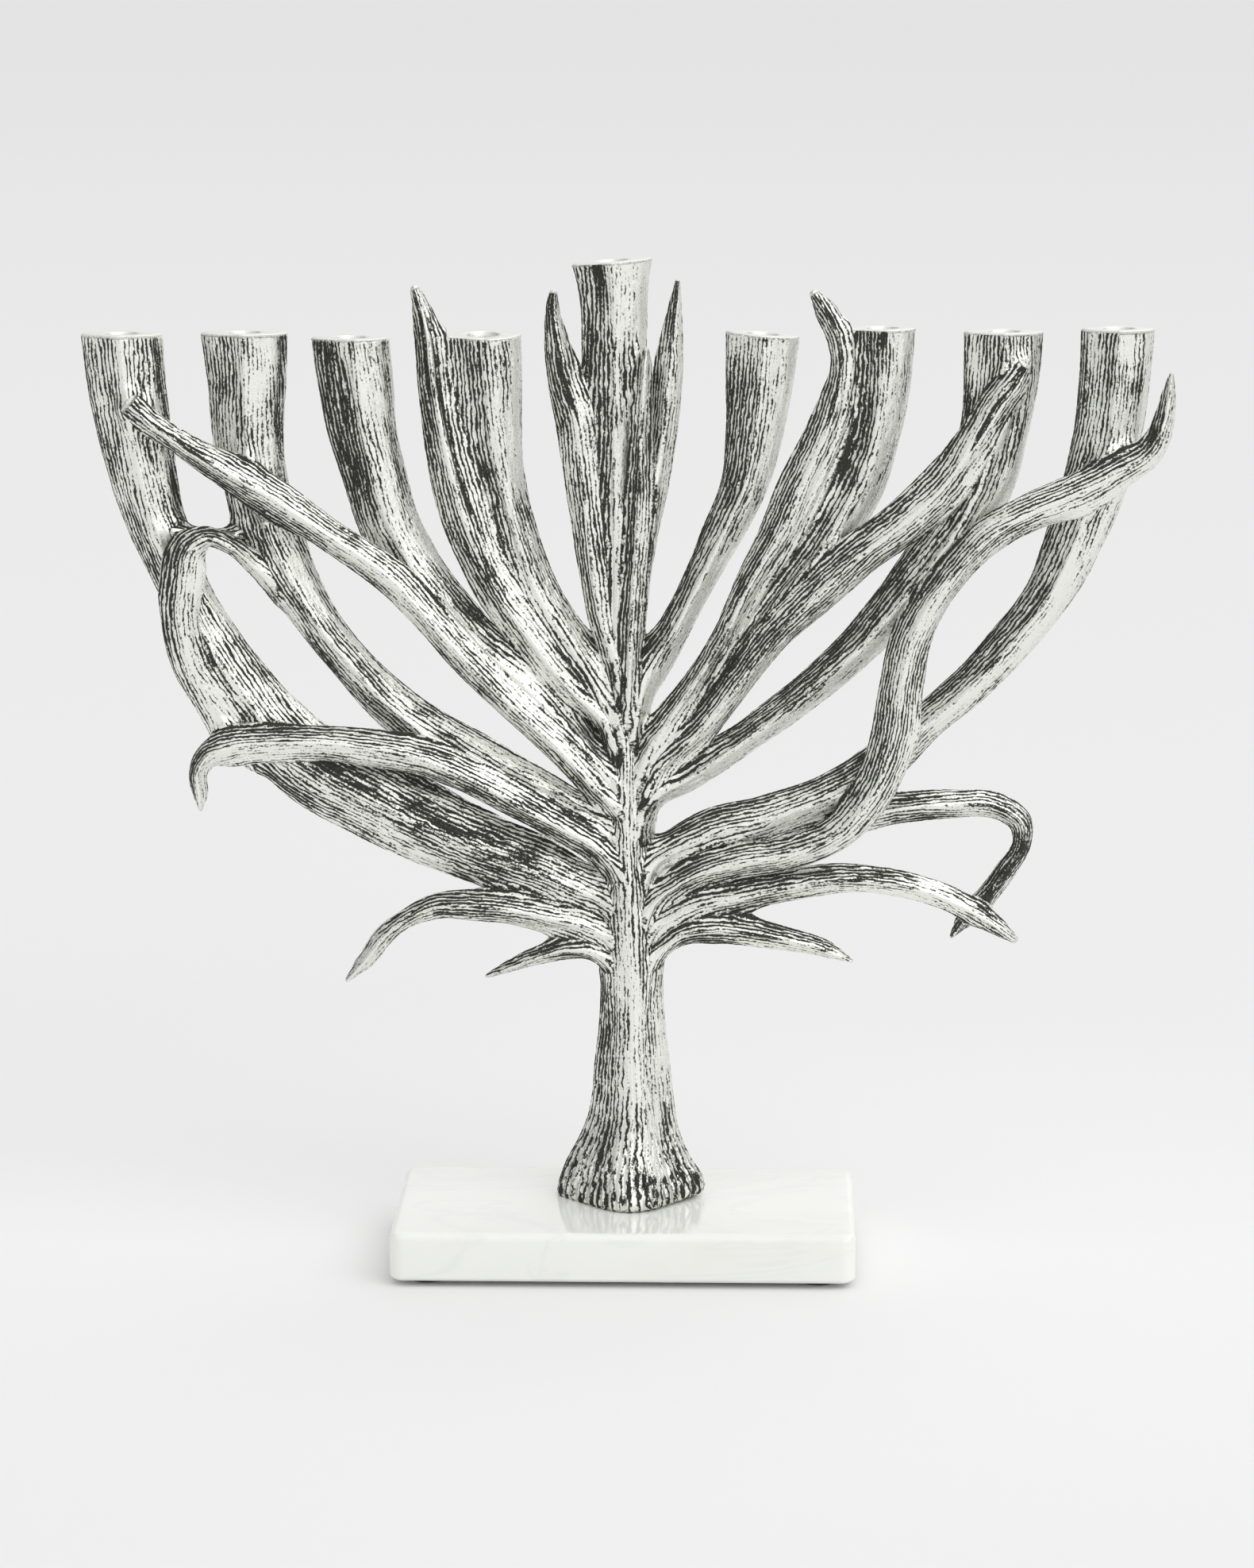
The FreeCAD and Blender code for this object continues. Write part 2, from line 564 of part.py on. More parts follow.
def make_leaf(name, leaf):
    """Leaf lofted along its line, with its folded part where it has one."""
    body = cast_body(name + "_blank")
    reach, low, width = (f"Sizes.{name}_{what}" for what in ("reach", "low", "width"))
    rise = f"(Sizes.{name}_high - {low})"
    for part in ("line", "fold"):
        stations = leaf.get(part, [])
        sections = []
        for k, (out, up, wide, ahead) in enumerate(stations):
            sketch = flat_sketch(body, f"{name}_{part}_{k}")
            set_across(sketch, f"{reach} * {out / 100}", f"-Sizes.{name}_forward * {ahead / 100}",
                       f"{low} + {rise} * {up / 100}", heading(reach, rise, stations, k))
            thin = round(0.4 + 0.6 * min(1.0, wide / 60), 3)
            leaf_outline(sketch, f"{width} * {wide / 100}", f"Sizes.{name}_thick * {thin}")
            sections.append(sketch)
        if sections:
            loft(body, f"{name}_{part}_loft", sections)
    return body


def seat(name, blank, neighbours):
    """Cut a member back to the faces of the members that it was cast against."""
    seated = blank
    for other in neighbours:
        if not seated.Shape.BoundBox.intersect(other.Shape.BoundBox):
            continue
        if seated.Shape.common(other.Shape).Volume < SLIM:
            continue
        cut = DOC.addObject("Part::Cut", f"{name}_against_{other.Name}")
        cut.Base = seated
        cut.Tool = other
        DOC.recompute()
        seated = cut
    return seated


def make_tree():
    """Trunk, arms and leaves, each one seated on those made before it."""
    trunk = make_trunk()
    blanks = [trunk]
    nodes = {"trunk": trunk}
    for name, arm in ARMS.items():
        blank = make_arm(name, arm["line"])
        nodes[name] = seat(name, blank, blanks)
        blanks.append(blank)
    for name, leaf in LEAVES.items():
        blank = make_leaf(name, leaf)
        DOC.recompute()
        nodes[name] = seat(name, blank, blanks)
        blanks.append(blank)
    return nodes


# ---------------------------------------------------------------- build, check and export
def check_document():
    """Every object is up to date and has no error."""
    DOC.recompute()
    for thing in DOC.Objects:
        check("Invalid" not in thing.State and "Error" not in thing.State,
              f"{thing.Name} failed: {thing.State}")


def export(nodes):
    """Check each node's shape and write it to parts/."""
    os.makedirs("parts", exist_ok=True)
    for name, thing in nodes.items():
        shape = thing.Shape
        check(not shape.isNull() and shape.isValid(), f"{name} is not a valid shape")
        check(len(shape.Solids) == 1, f"{name} has {len(shape.Solids)} solids")
        thing.Label = name
        shape.exportStep(f"parts/{name}.step")
        box = shape.BoundBox
        print(f"{name}: {shape.Volume:.0f} mm3, x {box.XMin:.1f} {box.XMax:.1f}, "
              f"y {box.YMin:.1f} {box.YMax:.1f}, z {box.ZMin:.1f} {box.ZMax:.1f}")


def main():
    """Build every sub-part, check the document and export the nodes."""
    nodes = {"marble_slab": make_slab()}
    nodes.update({pad.Name: pad for pad in make_pads()})
    nodes["base_washer"] = make_washer()
    nodes["base_bolt"] = make_bolt()
    nodes.update(make_tree())
    check_document()
    export(nodes)


main()
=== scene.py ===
"""Nine-light branch menorah, dressed: a cast silver tree of arms and leaves on a marble slab.

The tables give millimetres: aside (to the right of the stem's axis), up (above the slab's top),
width, and ahead (how far the line stands in front of the stem's axis). Finished meshes are in
metres in the model's own frame, and the front faces -Y.
"""
from __future__ import annotations

import itertools
import json
import logging
import math
from dataclasses import dataclass, field
from enum import Enum

import bpy
import numpy as np
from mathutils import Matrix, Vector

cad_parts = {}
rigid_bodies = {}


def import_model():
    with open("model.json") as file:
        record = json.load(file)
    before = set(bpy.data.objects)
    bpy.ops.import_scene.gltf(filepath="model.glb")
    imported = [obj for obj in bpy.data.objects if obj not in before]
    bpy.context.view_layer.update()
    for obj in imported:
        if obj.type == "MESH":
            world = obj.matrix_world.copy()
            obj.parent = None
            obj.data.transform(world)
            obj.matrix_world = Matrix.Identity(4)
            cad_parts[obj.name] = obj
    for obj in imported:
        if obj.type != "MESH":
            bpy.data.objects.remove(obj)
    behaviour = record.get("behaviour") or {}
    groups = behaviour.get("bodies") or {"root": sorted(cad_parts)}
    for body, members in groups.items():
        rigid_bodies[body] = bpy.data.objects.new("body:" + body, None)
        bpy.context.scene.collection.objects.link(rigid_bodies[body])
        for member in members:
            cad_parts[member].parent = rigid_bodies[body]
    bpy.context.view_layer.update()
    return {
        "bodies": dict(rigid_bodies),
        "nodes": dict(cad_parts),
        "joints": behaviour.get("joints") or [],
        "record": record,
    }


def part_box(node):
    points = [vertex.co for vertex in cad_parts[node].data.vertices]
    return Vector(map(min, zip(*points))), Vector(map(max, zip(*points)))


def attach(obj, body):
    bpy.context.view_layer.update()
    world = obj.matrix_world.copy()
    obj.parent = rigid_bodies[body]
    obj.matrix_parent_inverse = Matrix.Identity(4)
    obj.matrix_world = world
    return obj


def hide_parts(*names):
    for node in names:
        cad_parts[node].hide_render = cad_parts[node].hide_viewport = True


LOG = logging.getLogger("menorah")
MM = 0.001
TURN = 2.0 * math.pi
SPINE_REACH = 12.0  # mm: a line that starts nearer the stem's axis than this grows from the spine
LATTICE = 256  # corners of the noise's lattice before it repeats, a power of two
GRAIN_GAIN = 1.6  # brings the noise to about -1 to 1
SEED_SHIFT = 17.3  # moves each member's noise to a place of its own
FINE_STEPS = 1200  # steps along a member's curve before it is cut into even stations
COARSE_STATIONS = 70  # stations looked at first when the nearest one is sought
CHUNK = 20000  # points whose gaps are worked out at a time
LEAST_WIDTH = 0.8  # mm: half of it is the thinnest that a member gets
LEAN = 22.0  # mm of an arm's end over which it turns to face along its hole
NEARBY = 8.0  # mm: members further apart than this don't touch each other's looks
ROUNDS = 4  # times that a fillet is worked out again from where it takes the point
# Painted crevice shade: the two reaches and the power below set how it fades.
SHADE_REACH = 2.6  # mm over which a crevice fades
TRUNK_SHADE_REACH = 1.3  # mm over which a crevice against the trunk fades
SHADE_FALL = 1.3  # power of a crevice's fading
MOUNTS: list[dict] = []  # the record's mounts, which main fills in


class Slot(Enum):
    """Finish slots of the part's record."""

    CAST = "cast_metal"
    MARBLE = "marble"
    RUBBER = "pad_rubber"
    STEEL = "bolt_steel"


class Rank(Enum):
    """What a member is in the tree, with the radius of the fillet it is cast with."""

    TRUNK = 8.0
    ARM = 8.0
    LEAF = 6.5


# ------------------------------------------------------------------ noise and small formulas
@dataclass(frozen=True)
class Grain:
    """Seeded gradient noise: smooth and without direction, about -1 to 1.

    Every lattice corner has a random slope. A point's value is the blend of its eight corners'
    slopes times the offsets from them, weighted by the quintic fade of its place in the cell.
    """

    seed: int

    def at(self, points: np.ndarray) -> np.ndarray:
        """Noise at points.

        Args:
            points: places, one lattice cell per unit, with the three parts last.

        Returns:
            One value for each point.
        """
        source = np.random.default_rng(self.seed)
        order = source.permutation(LATTICE)
        slopes = source.normal(size=(LATTICE, 3))
        slopes /= np.linalg.norm(slopes, axis=1, keepdims=True)
        cell = np.floor(points).astype(np.int64)
        part = points - cell
        fade = part**3 * (part * (part * 6.0 - 15.0) + 10.0)
        total = np.zeros(points.shape[:-1])
        for corner in itertools.product((0, 1), repeat=3):
            key = order[(cell[..., 0] + corner[0]) & (LATTICE - 1)]
            key = order[(key + cell[..., 1] + corner[1]) & (LATTICE - 1)]
            key = order[(key + cell[..., 2] + corner[2]) & (LATTICE - 1)]
            weight = np.prod(np.where(corner, fade, 1.0 - fade), axis=-1)
            total += weight * ((part - corner) * slopes[key]).sum(-1)
        return total * GRAIN_GAIN


def ease(value: np.ndarray, low: float, high: float) -> np.ndarray:
    """Smooth step from 0 at low to 1 at high."""
    t = np.clip((value - low) / (high - low), 0.0, 1.0)
    return t * t * (3.0 - 2.0 * t)


def unit(vectors: np.ndarray) -> np.ndarray:
    """Vectors brought to length one."""
    return vectors / np.maximum(np.linalg.norm(vectors, axis=-1, keepdims=True), 1e-12)


def hermite(knots: np.ndarray, count: int) -> np.ndarray:
    """Smooth curve through knots.

    Each span is the cubic with the knots' values and slopes at its ends, where a slope is the
    weighted difference of the knots on both sides, over the chord between them.

    Args:
        knots: one row for each knot, the first three parts its place.
        count: how many even steps of chord to take.

    Returns:
        Rows like the knots' at those steps.
    """
    chord = np.r_[0.0, np.cumsum(np.linalg.norm(np.diff(knots[:, :3], axis=0), axis=1))]
    slope = np.gradient(knots, chord, axis=0)
    at = np.linspace(0.0, chord[-1], count)
    k = np.clip(np.searchsorted(chord, at, side="right") - 1, 0, len(chord) - 2)
    span = (chord[k + 1] - chord[k])[:, None]
    t = (at - chord[k])[:, None] / span
    return (
        (2 * t**3 - 3 * t**2 + 1) * knots[k]
        + (t**3 - 2 * t**2 + t) * span * slope[k]
        + (3 * t**2 - 2 * t**3) * knots[k + 1]
        + (t**3 - t**2) * span * slope[k + 1]
    )


def smooth_rows(rows: np.ndarray, reach: int) -> np.ndarray:
    """Weighted running mean of rows.

    The weights are a raised cosine that falls to nothing beyond the reach.

    Args:
        rows: the rows to smooth.
        reach: how many neighbours on each side count.

    Returns:
        As many rows, smoothed.
    """
    if reach < 1:
        return rows
    kernel = np.hanning(2 * reach + 3)[1:-1]
    kernel /= kernel.sum()
    padded = np.pad(rows, ((reach, reach), (0, 0)), mode="edge")
    return np.stack([np.convolve(padded[:, k], kernel, "valid") for k in range(rows.shape[1])], 1)


# ------------------------------------------------------------------ meshes
def build_mesh(name: str, points: np.ndarray, loops: list[np.ndarray]) -> bpy.types.Object:
    """Mesh object from points and faces.

    Args:
        name: the piece's name.
        points: places in metres.
        loops: arrays of faces, each array with faces of one size.

    Returns:
        The object, linked to the scene, with smooth faces.
    """
    mesh = bpy.data.meshes.new(name)
    corners = np.concatenate([faces.ravel() for faces in loops]).astype(np.int32)
    sizes = np.concatenate([np.full(len(faces), faces.shape[1]) for faces in loops])
    starts = np.r_[0, np.cumsum(sizes)[:-1]].astype(np.int32)
    mesh.vertices.add(len(points))
    mesh.vertices.foreach_set("co", points.astype(np.float32).ravel())
    mesh.loops.add(len(corners))
    mesh.loops.foreach_set("vertex_index", corners)
    mesh.polygons.add(len(starts))
    mesh.polygons.foreach_set("loop_start", starts)
    mesh.polygons.foreach_set("use_smooth", np.ones(len(starts), bool))
    mesh.update(calc_edges=True)
    mesh.validate()
    thing = bpy.data.objects.new(name, mesh)
    bpy.context.scene.collection.objects.link(thing)
    return thing


def tube_faces(rows: int, columns: int) -> np.ndarray:
    """Quads of a grid whose last column joins its first, facing out where rows run forward.

    Args:
        rows: how many rows the grid has.
        columns: how many columns it has.

    Returns:
        One row of four corners for each face.
    """
    j, i = np.meshgrid(np.arange(rows - 1), np.arange(columns), indexing="ij")
    after = (i + 1) % columns
    quads = [j * columns + i, j * columns + after, (j + 1) * columns + after, (j + 1) * columns + i]
    return np.stack(quads, -1).reshape(-1, 4)


def cap_faces(first: int, columns: int, pole: int, at_end: bool) -> np.ndarray:
    """Triangles from a row of a tube to its pole, facing out.

    Args:
        first: number of the row's first point.
        columns: how many points the row has.
        pole: number of the pole's point.
        at_end: whether the pole closes the tube's end, and not its start.

    Returns:
        One row of three corners for each face.
    """
    i = np.arange(columns)
    after = (i + 1) % columns
    ring = (first + i, first + after) if at_end else (first + after, first + i)
    return np.stack([*ring, np.full(columns, pole)], -1)


def store(thing: bpy.types.Object, name: str, values: np.ndarray) -> None:
    """Keep one number or one vector for each vertex under a name.

    Args:
        thing: the object whose mesh keeps them.
        name: what the attribute is called.
        values: one number or one row of three for each vertex.
    """
    vector = values.ndim == 2
    kind = "FLOAT_VECTOR" if vector else "FLOAT"
    layer = thing.data.attributes.new(name, kind, "POINT")
    layer.data.foreach_set("vector" if vector else "value", values.astype(np.float32).ravel())


# ------------------------------------------------------------------ node sheets for finishes
class NodeSheet:
    """A material's nodes, laid by short calls."""

    def __init__(self, name: str, tree: bpy.types.NodeTree | None = None,
                 output: str = "ShaderNodeOutputMaterial") -> None:
        """Start an empty sheet.

        Args:
            name: the material's name.
            tree: nodes to use instead of a new material's.
            output: kind of the output node.
        """
        if tree is None:
            self.material = bpy.data.materials.new(name)
            self.material.use_nodes = True
            tree = self.material.node_tree
        self.tree = tree
        self.tree.nodes.clear()
        self.output = self.tree.nodes.new(output)

    def feed(self, socket: bpy.types.NodeSocket, value: object) -> None:
        """Link a socket to a socket, or set its value."""
        if isinstance(value, bpy.types.NodeSocket):
            self.tree.links.new(value, socket)
        elif value is not None:
            socket.default_value = value

    def attribute(self, name: str, vector: bool = False) -> bpy.types.NodeSocket:
        """A named value of the mesh.

        Args:
            name: the attribute's name.
            vector: whether it is a vector, and not a number.

        Returns:
            The socket that gives it.
        """
        node = self.tree.nodes.new("ShaderNodeAttribute")
        node.attribute_name = name
        return node.outputs["Vector" if vector else "Fac"]

    def place(self) -> bpy.types.NodeSocket:
        """The object's own coordinates."""
        return self.tree.nodes.new("ShaderNodeTexCoord").outputs["Object"]

    def scaled(self, vector: bpy.types.NodeSocket,
               by: tuple[float, float, float]) -> bpy.types.NodeSocket:
        """A vector with each part multiplied.

        Args:
            vector: the vector.
            by: what each part is multiplied by.

        Returns:
            The socket of the product.
        """
        node = self.tree.nodes.new("ShaderNodeVectorMath")
        node.operation = "MULTIPLY"
        self.feed(node.inputs[0], vector)
        node.inputs[1].default_value = by
        return node.outputs[0]

    def noise(self, vector: bpy.types.NodeSocket, detail: float = 2.0, rough: float = 0.55,
              warp: float = 0.0) -> bpy.types.NodeSocket:
        """Noise of one cell per unit, about 0 to 1.

        Args:
            vector: where the noise is read.
            detail: how many finer layers it has.
            rough: how strong each finer layer is.
            warp: how far it is distorted.

        Returns:
            The socket of the noise.
        """
        node = self.tree.nodes.new("ShaderNodeTexNoise")
        self.feed(node.inputs["Vector"], vector)
        node.inputs["Scale"].default_value = 1.0
        node.inputs["Detail"].default_value = detail
        node.inputs["Roughness"].default_value = rough
        node.inputs["Distortion"].default_value = warp
        return node.outputs["Fac"]

    def math(self, operation: str, a: object, b: object = None, c: object = None) -> bpy.types.NodeSocket:
        """One sum or function of numbers.

        Args:
            operation: name of the operation.
            a: its first number.
            b: its second number, where it has one.
            c: its third number, where it has one.

        Returns:
            The socket of the result.
        """
        node = self.tree.nodes.new("ShaderNodeMath")
        node.operation = operation
        for socket, value in zip(node.inputs, (a, b, c)):
            self.feed(socket, value)
        return node.outputs[0]

    def total(self, *terms: tuple[object, float]) -> bpy.types.NodeSocket:
        """Sum of values, each times its weight.

        Args:
            terms: pairs of a value and its weight.

        Returns:
            The socket of the sum.
        """
        running: object = 0.0
        for value, weight in terms:
            running = self.math("MULTIPLY_ADD", value, weight, running)
        return running

    def ease(self, value: bpy.types.NodeSocket, low: float, high: float,
             to_low: float = 0.0, to_high: float = 1.0) -> bpy.types.NodeSocket:
        """Smooth step of a value.

        Args:
            value: the value.
            low: where the step starts.
            high: where it ends.
            to_low: what it gives up to its start.
            to_high: what it gives past its end.

        Returns:
            The socket of the step.
        """
        node = self.tree.nodes.new("ShaderNodeMapRange")
        node.interpolation_type = "SMOOTHSTEP"
        self.feed(node.inputs["Value"], value)
        for label, number in zip(("From Min", "From Max", "To Min", "To Max"),
                                 (low, high, to_low, to_high)):
            node.inputs[label].default_value = number
        return node.outputs["Result"]

    def mix(self, factor: object, a: object, b: object) -> bpy.types.NodeSocket:
        """Colour between two colours.

        Args:
            factor: how far from the first to the second.
            a: the first colour.
            b: the second colour.

        Returns:
            The socket of the colour.
        """
        node = self.tree.nodes.new("ShaderNodeMix")
        node.data_type = "RGBA"
        self.feed(node.inputs[0], factor)
        self.feed(node.inputs[6], a)
        self.feed(node.inputs[7], b)
        return node.outputs[2]

    def bump(self, height: bpy.types.NodeSocket, distance: float,
             strength: float = 1.0) -> bpy.types.NodeSocket:
        """Normal tilted by a height.

        Args:
            height: the height.
            distance: metres that a height of one stands for.
            strength: how much of the tilt is kept.

        Returns:
            The socket of the normal.
        """
        node = self.tree.nodes.new("ShaderNodeBump")
        node.inputs["Strength"].default_value = strength
        node.inputs["Distance"].default_value = distance
        self.feed(node.inputs["Height"], height)
        return node.outputs["Normal"]

    def surface(self, **values: object) -> bpy.types.Material:
        """Close the sheet with one surface.

        Args:
            values: what feeds each socket, whose name has underscores for its spaces.

        Returns:
            The material.
        """
        node = self.tree.nodes.new("ShaderNodeBsdfPrincipled")
        for label, value in values.items():
            self.feed(node.inputs[label.replace("_", " ")], value)
        self.tree.links.new(node.outputs[0], self.output.inputs[0])
        return self.material


Colour = tuple[float, float, float, float]


@dataclass(frozen=True)
class SilverFinish:
    """Cast metal, polished bright on its high places and blackened in its grooves and pits."""

    bright: Colour = (0.90, 0.905, 0.855, 1.0)
    pewter: Colour = (0.34, 0.345, 0.295, 1.0)
    black: Colour = (0.010, 0.011, 0.007, 1.0)
    charcoal: Colour = (0.060, 0.062, 0.048, 1.0)
    shine: float = 0.27
    dullness: float = 0.60
    clean: float = 2.77

    def material(self) -> bpy.types.Material:
        """Depth of dirt and painted shade sets the colour: bright, then pewter, then black.

        Dirt and painted shade add up the ribs' grooves, which noise bends and breaks into dashes
        and beads, pits, long lines that run with the limb, the mesh's own wear and stains, its
        painted side shade and painted crevice and bore shade, and broad patches. Ground faces
        stay clean.

        Returns:
            The material.
        """
        sheet = NodeSheet("cast_silver")
        lay = sheet.attribute("lay", vector=True)
        wear_and_shade = sheet.attribute("wear_and_shade")
        stain_and_shade = sheet.attribute("stain_and_shade")
        ground = sheet.attribute("ground")
        broad = sheet.noise(sheet.scaled(lay, (0.14, 0.14, 0.06)), 3.0)
        bend = sheet.noise(sheet.scaled(lay, (0.6, 0.6, 0.22)), 2.0)
        dash = sheet.noise(sheet.scaled(lay, (1.0, 1.0, 0.22)), 3.0, 0.6)
        bead = sheet.noise(sheet.scaled(lay, (1.7, 1.7, 1.15)), 2.0, 0.6)
        fine = sheet.noise(sheet.scaled(lay, (4.5, 4.5, 3.0)), 2.0, 0.6)
        line = sheet.noise(sheet.scaled(lay, (0.9, 0.9, 0.045)), 1.0)
        rib = sheet.math("MULTIPLY_ADD", bend, 1.3, sheet.attribute("rib"))
        cosine = sheet.math("COSINE", sheet.math("MULTIPLY", rib, TURN))
        wave = sheet.math("MULTIPLY_ADD", cosine, -0.5, 0.5)
        groove = sheet.math("MULTIPLY_ADD", sheet.math("POWER", wave, 2.0), 2.0, -1.0)
        ribbed = sheet.math("MULTIPLY", groove, sheet.math("MULTIPLY_ADD", wear_and_shade, 0.50, 0.10))
        grain = sheet.total((dash, 1.1), (bead, 1.35), (fine, 0.5), (ribbed, 1.0))
        # Painted shade enters here: the wear attribute holds painted side shade, the stain attribute
        # painted crevice and bore shade.
        worn_and_shaded = sheet.total((wear_and_shade, 0.80), (stain_and_shade, 0.85), (broad, 1.35), (line, 0.70))
        dirt_and_shade = sheet.total((grain, 1.0), (worn_and_shaded, 1.0), (ground, -2.0))
        pewter = sheet.ease(dirt_and_shade, self.clean - 0.06, self.clean + 0.24)
        patina_and_shade = sheet.ease(dirt_and_shade, self.clean + 0.14, self.clean + 0.27)
        deep = sheet.mix(sheet.ease(fine, 0.45, 0.65), self.black, self.charcoal)
        colour = sheet.mix(patina_and_shade, sheet.mix(pewter, self.bright, self.pewter), deep)
        height = sheet.total((pewter, -0.5), (patina_and_shade, -0.8), (fine, 0.5), (bead, 0.5))
        return sheet.surface(
            Base_Color=colour,
            Metallic=sheet.math("MULTIPLY_ADD", patina_and_shade, -0.7, 1.0),
            Roughness=sheet.total((patina_and_shade, self.dullness - self.shine), (fine, 0.12),
                                  (1.0, self.shine - 0.06)),
            Normal=sheet.bump(height, 0.00028, 0.9),
        )


@dataclass(frozen=True)
class MarbleFinish:
    """Polished white marble with faint warm clouds and thin grey veins."""

    ground: Colour = (0.895, 0.905, 0.865, 1.0)
    cloud: Colour = (0.875, 0.865, 0.815, 1.0)
    vein: Colour = (0.81, 0.825, 0.80, 1.0)
    polish: float = 0.09

    def material(self) -> bpy.types.Material:
        """Clouds are broad noise, and veins the thin band where a warped noise crosses a half.

        Returns:
            The material.
        """
        sheet = NodeSheet("white_marble")
        place = sheet.place()
        cloud = sheet.ease(sheet.noise(sheet.scaled(place, (14.0, 22.0, 30.0)), 3.0), 0.50, 0.78)
        drift = sheet.noise(sheet.scaled(place, (9.0, 16.0, 24.0)), 5.0, 0.6, 1.2)
        band = sheet.math("ABSOLUTE", sheet.math("SUBTRACT", drift, 0.5))
        vein = sheet.math("MULTIPLY", sheet.ease(band, 0.035, 0.0), 0.35)
        colour = sheet.mix(vein, sheet.mix(cloud, self.ground, self.cloud), self.vein)
        grain = sheet.noise(sheet.scaled(place, (600.0, 600.0, 600.0)), 2.0)
        return sheet.surface(
            Base_Color=colour,
            Roughness=sheet.total((grain, 0.04), (cloud, 0.03), (1.0, self.polish)),
            Normal=sheet.bump(grain, 0.00002, 0.3),
            Subsurface_Weight=0.12,
            Subsurface_Radius=(0.006, 0.006, 0.005),
            Subsurface_Scale=1.0,
        )


@dataclass(frozen=True)
class RubberFinish:
    """Matt black rubber with a fine moulded grain."""

    tone: Colour = (0.03, 0.03, 0.03, 1.0)
    dust: Colour = (0.09, 0.088, 0.082, 1.0)

    def material(self) -> bpy.types.Material:
        """Dust is broad noise, and the grain fine noise.

        Returns:
            The material.
        """
        sheet = NodeSheet("black_rubber")
        place = sheet.place()
        dust = sheet.ease(sheet.noise(sheet.scaled(place, (300.0, 300.0, 300.0)), 3.0), 0.5, 0.8)
        grain = sheet.noise(sheet.scaled(place, (2500.0, 2500.0, 2500.0)), 2.0)
        return sheet.surface(
            Base_Color=sheet.mix(dust, self.tone, self.dust),
            Roughness=sheet.total((grain, 0.15), (1.0, 0.70)),
            Normal=sheet.bump(grain, 0.0001, 0.4),
        )


@dataclass(frozen=True)
class SteelFinish:
    """Zinc-plated steel with turning marks and slightly duller patches."""

    plate: Colour = (0.60, 0.61, 0.62, 1.0)
    dull: Colour = (0.38, 0.39, 0.38, 1.0)

    def material(self) -> bpy.types.Material:
        """Patches are broad noise, and the marks noise stretched level.

        Returns:
            The material.
        """
        sheet = NodeSheet("plated_steel")
        place = sheet.place()
        patch = sheet.ease(sheet.noise(sheet.scaled(place, (260.0, 260.0, 260.0)), 3.0), 0.45, 0.8)
        marks = sheet.noise(sheet.scaled(place, (250.0, 250.0, 4000.0)), 2.0)
        return sheet.surface(
            Base_Color=sheet.mix(patch, self.plate, self.dull),
            Metallic=1.0,
            Roughness=sheet.total((marks, 0.15), (patch, 0.12), (1.0, 0.25)),
            Normal=sheet.bump(marks, 0.00005, 0.4),
        )


@dataclass(frozen=True)
class FloorFinish:
    """Plain pale studio floor, with a painted fall-off of light that deepens its tone far away."""

    near: Colour = (0.865, 0.865, 0.865, 1.0)
    middle: Colour = (0.815, 0.815, 0.815, 1.0)
    far: Colour = (0.765, 0.765, 0.765, 1.0)
    reach: float = 9.0

    def material(self) -> bpy.types.Material:
        """Painted fall-off of light: the tone deepens in two steps with the distance from the
        middle of the floor.

        Returns:
            The material.
        """
        sheet = NodeSheet("studio_floor")
        length = sheet.tree.nodes.new("ShaderNodeVectorMath")
        length.operation = "LENGTH"
        sheet.feed(length.inputs[0], sheet.place())
        # Painted fall-off of light: paler near the middle, deeper in tone further out.
        close = sheet.ease(length.outputs["Value"], 0.12, 0.45)
        painted_falloff = sheet.ease(length.outputs["Value"], 1.0, self.reach)
        tone = sheet.mix(painted_falloff, sheet.mix(close, self.near, self.middle), self.far)
        return sheet.surface(Base_Color=tone, Roughness=1.0, Specular_IOR_Level=0.0)


# ------------------------------------------------------------------ members of the tree
Knot = tuple[float, float, float, float]
Corners = tuple[tuple[float, float], ...]

CUP: Corners = ((-1.0, 0.15), (-0.93, -0.30), (0.05, -1.0), (0.76, -0.58), (1.0, 0.10), (0.0, 1.0))
LIMB: Corners = ((-1.0, 0.15), (-0.7, -0.55), (0.05, -1.0), (0.7, -0.5), (1.0, 0.15), (0.0, 1.0))
BLADE: Corners = ((-1.0, 0.15), (-0.5, -0.62), (0.0, -1.0), (0.5, -0.62), (1.0, 0.15), (0.0, 0.8))
FOOT: Corners = ((-1.0, 0.10), (-0.24, -0.92), (0.24, -0.94), (0.98, 0.12), (0.50, 0.92), (-0.50, 0.92))
STEM: Corners = ((-1.0, 0.15), (-0.20, -0.98), (0.16, -0.98), (1.0, 0.12), (0.50, 0.90), (-0.50, 0.90))


@dataclass(frozen=True)
class Crease:
    """A ridge, furrow or band along a member.

    start and end are shares of the member's length. from_side and to_side are where it runs on
    the front face, -1 at the left edge, 0 at the middle and 1 at the right edge. height is in
    millimetres, negative for a furrow, and breadth is half its width in millimetres. stain is
    how much dirt lies in it, and polish how much of the grooves is rubbed off it.
    """

    start: float
    end: float
    from_side: float
    to_side: float
    height: float
    breadth: float
    stain: float = 0.0
    polish: float = 0.0


PIT = Crease(0.968, 1.06, 0.03, 0.03, -0.9, 1.4, stain=0.9)
DARK_EDGE = Crease(0.72, 1.06, 0.78, 0.82, -0.3, 2.2, stain=0.5)
CLEAN_SIDE = Crease(0.80, 1.06, -0.55, -0.55, 0.1, 4.5, polish=0.22)
STAINED_SIDE = Crease(0.70, 1.06, -0.50, -0.50, 0.0, 5.0, stain=0.25, polish=-0.2)
CHANNEL = Crease(0.80, 1.04, 0.0, 0.0, -0.8, 1.0, stain=0.8)


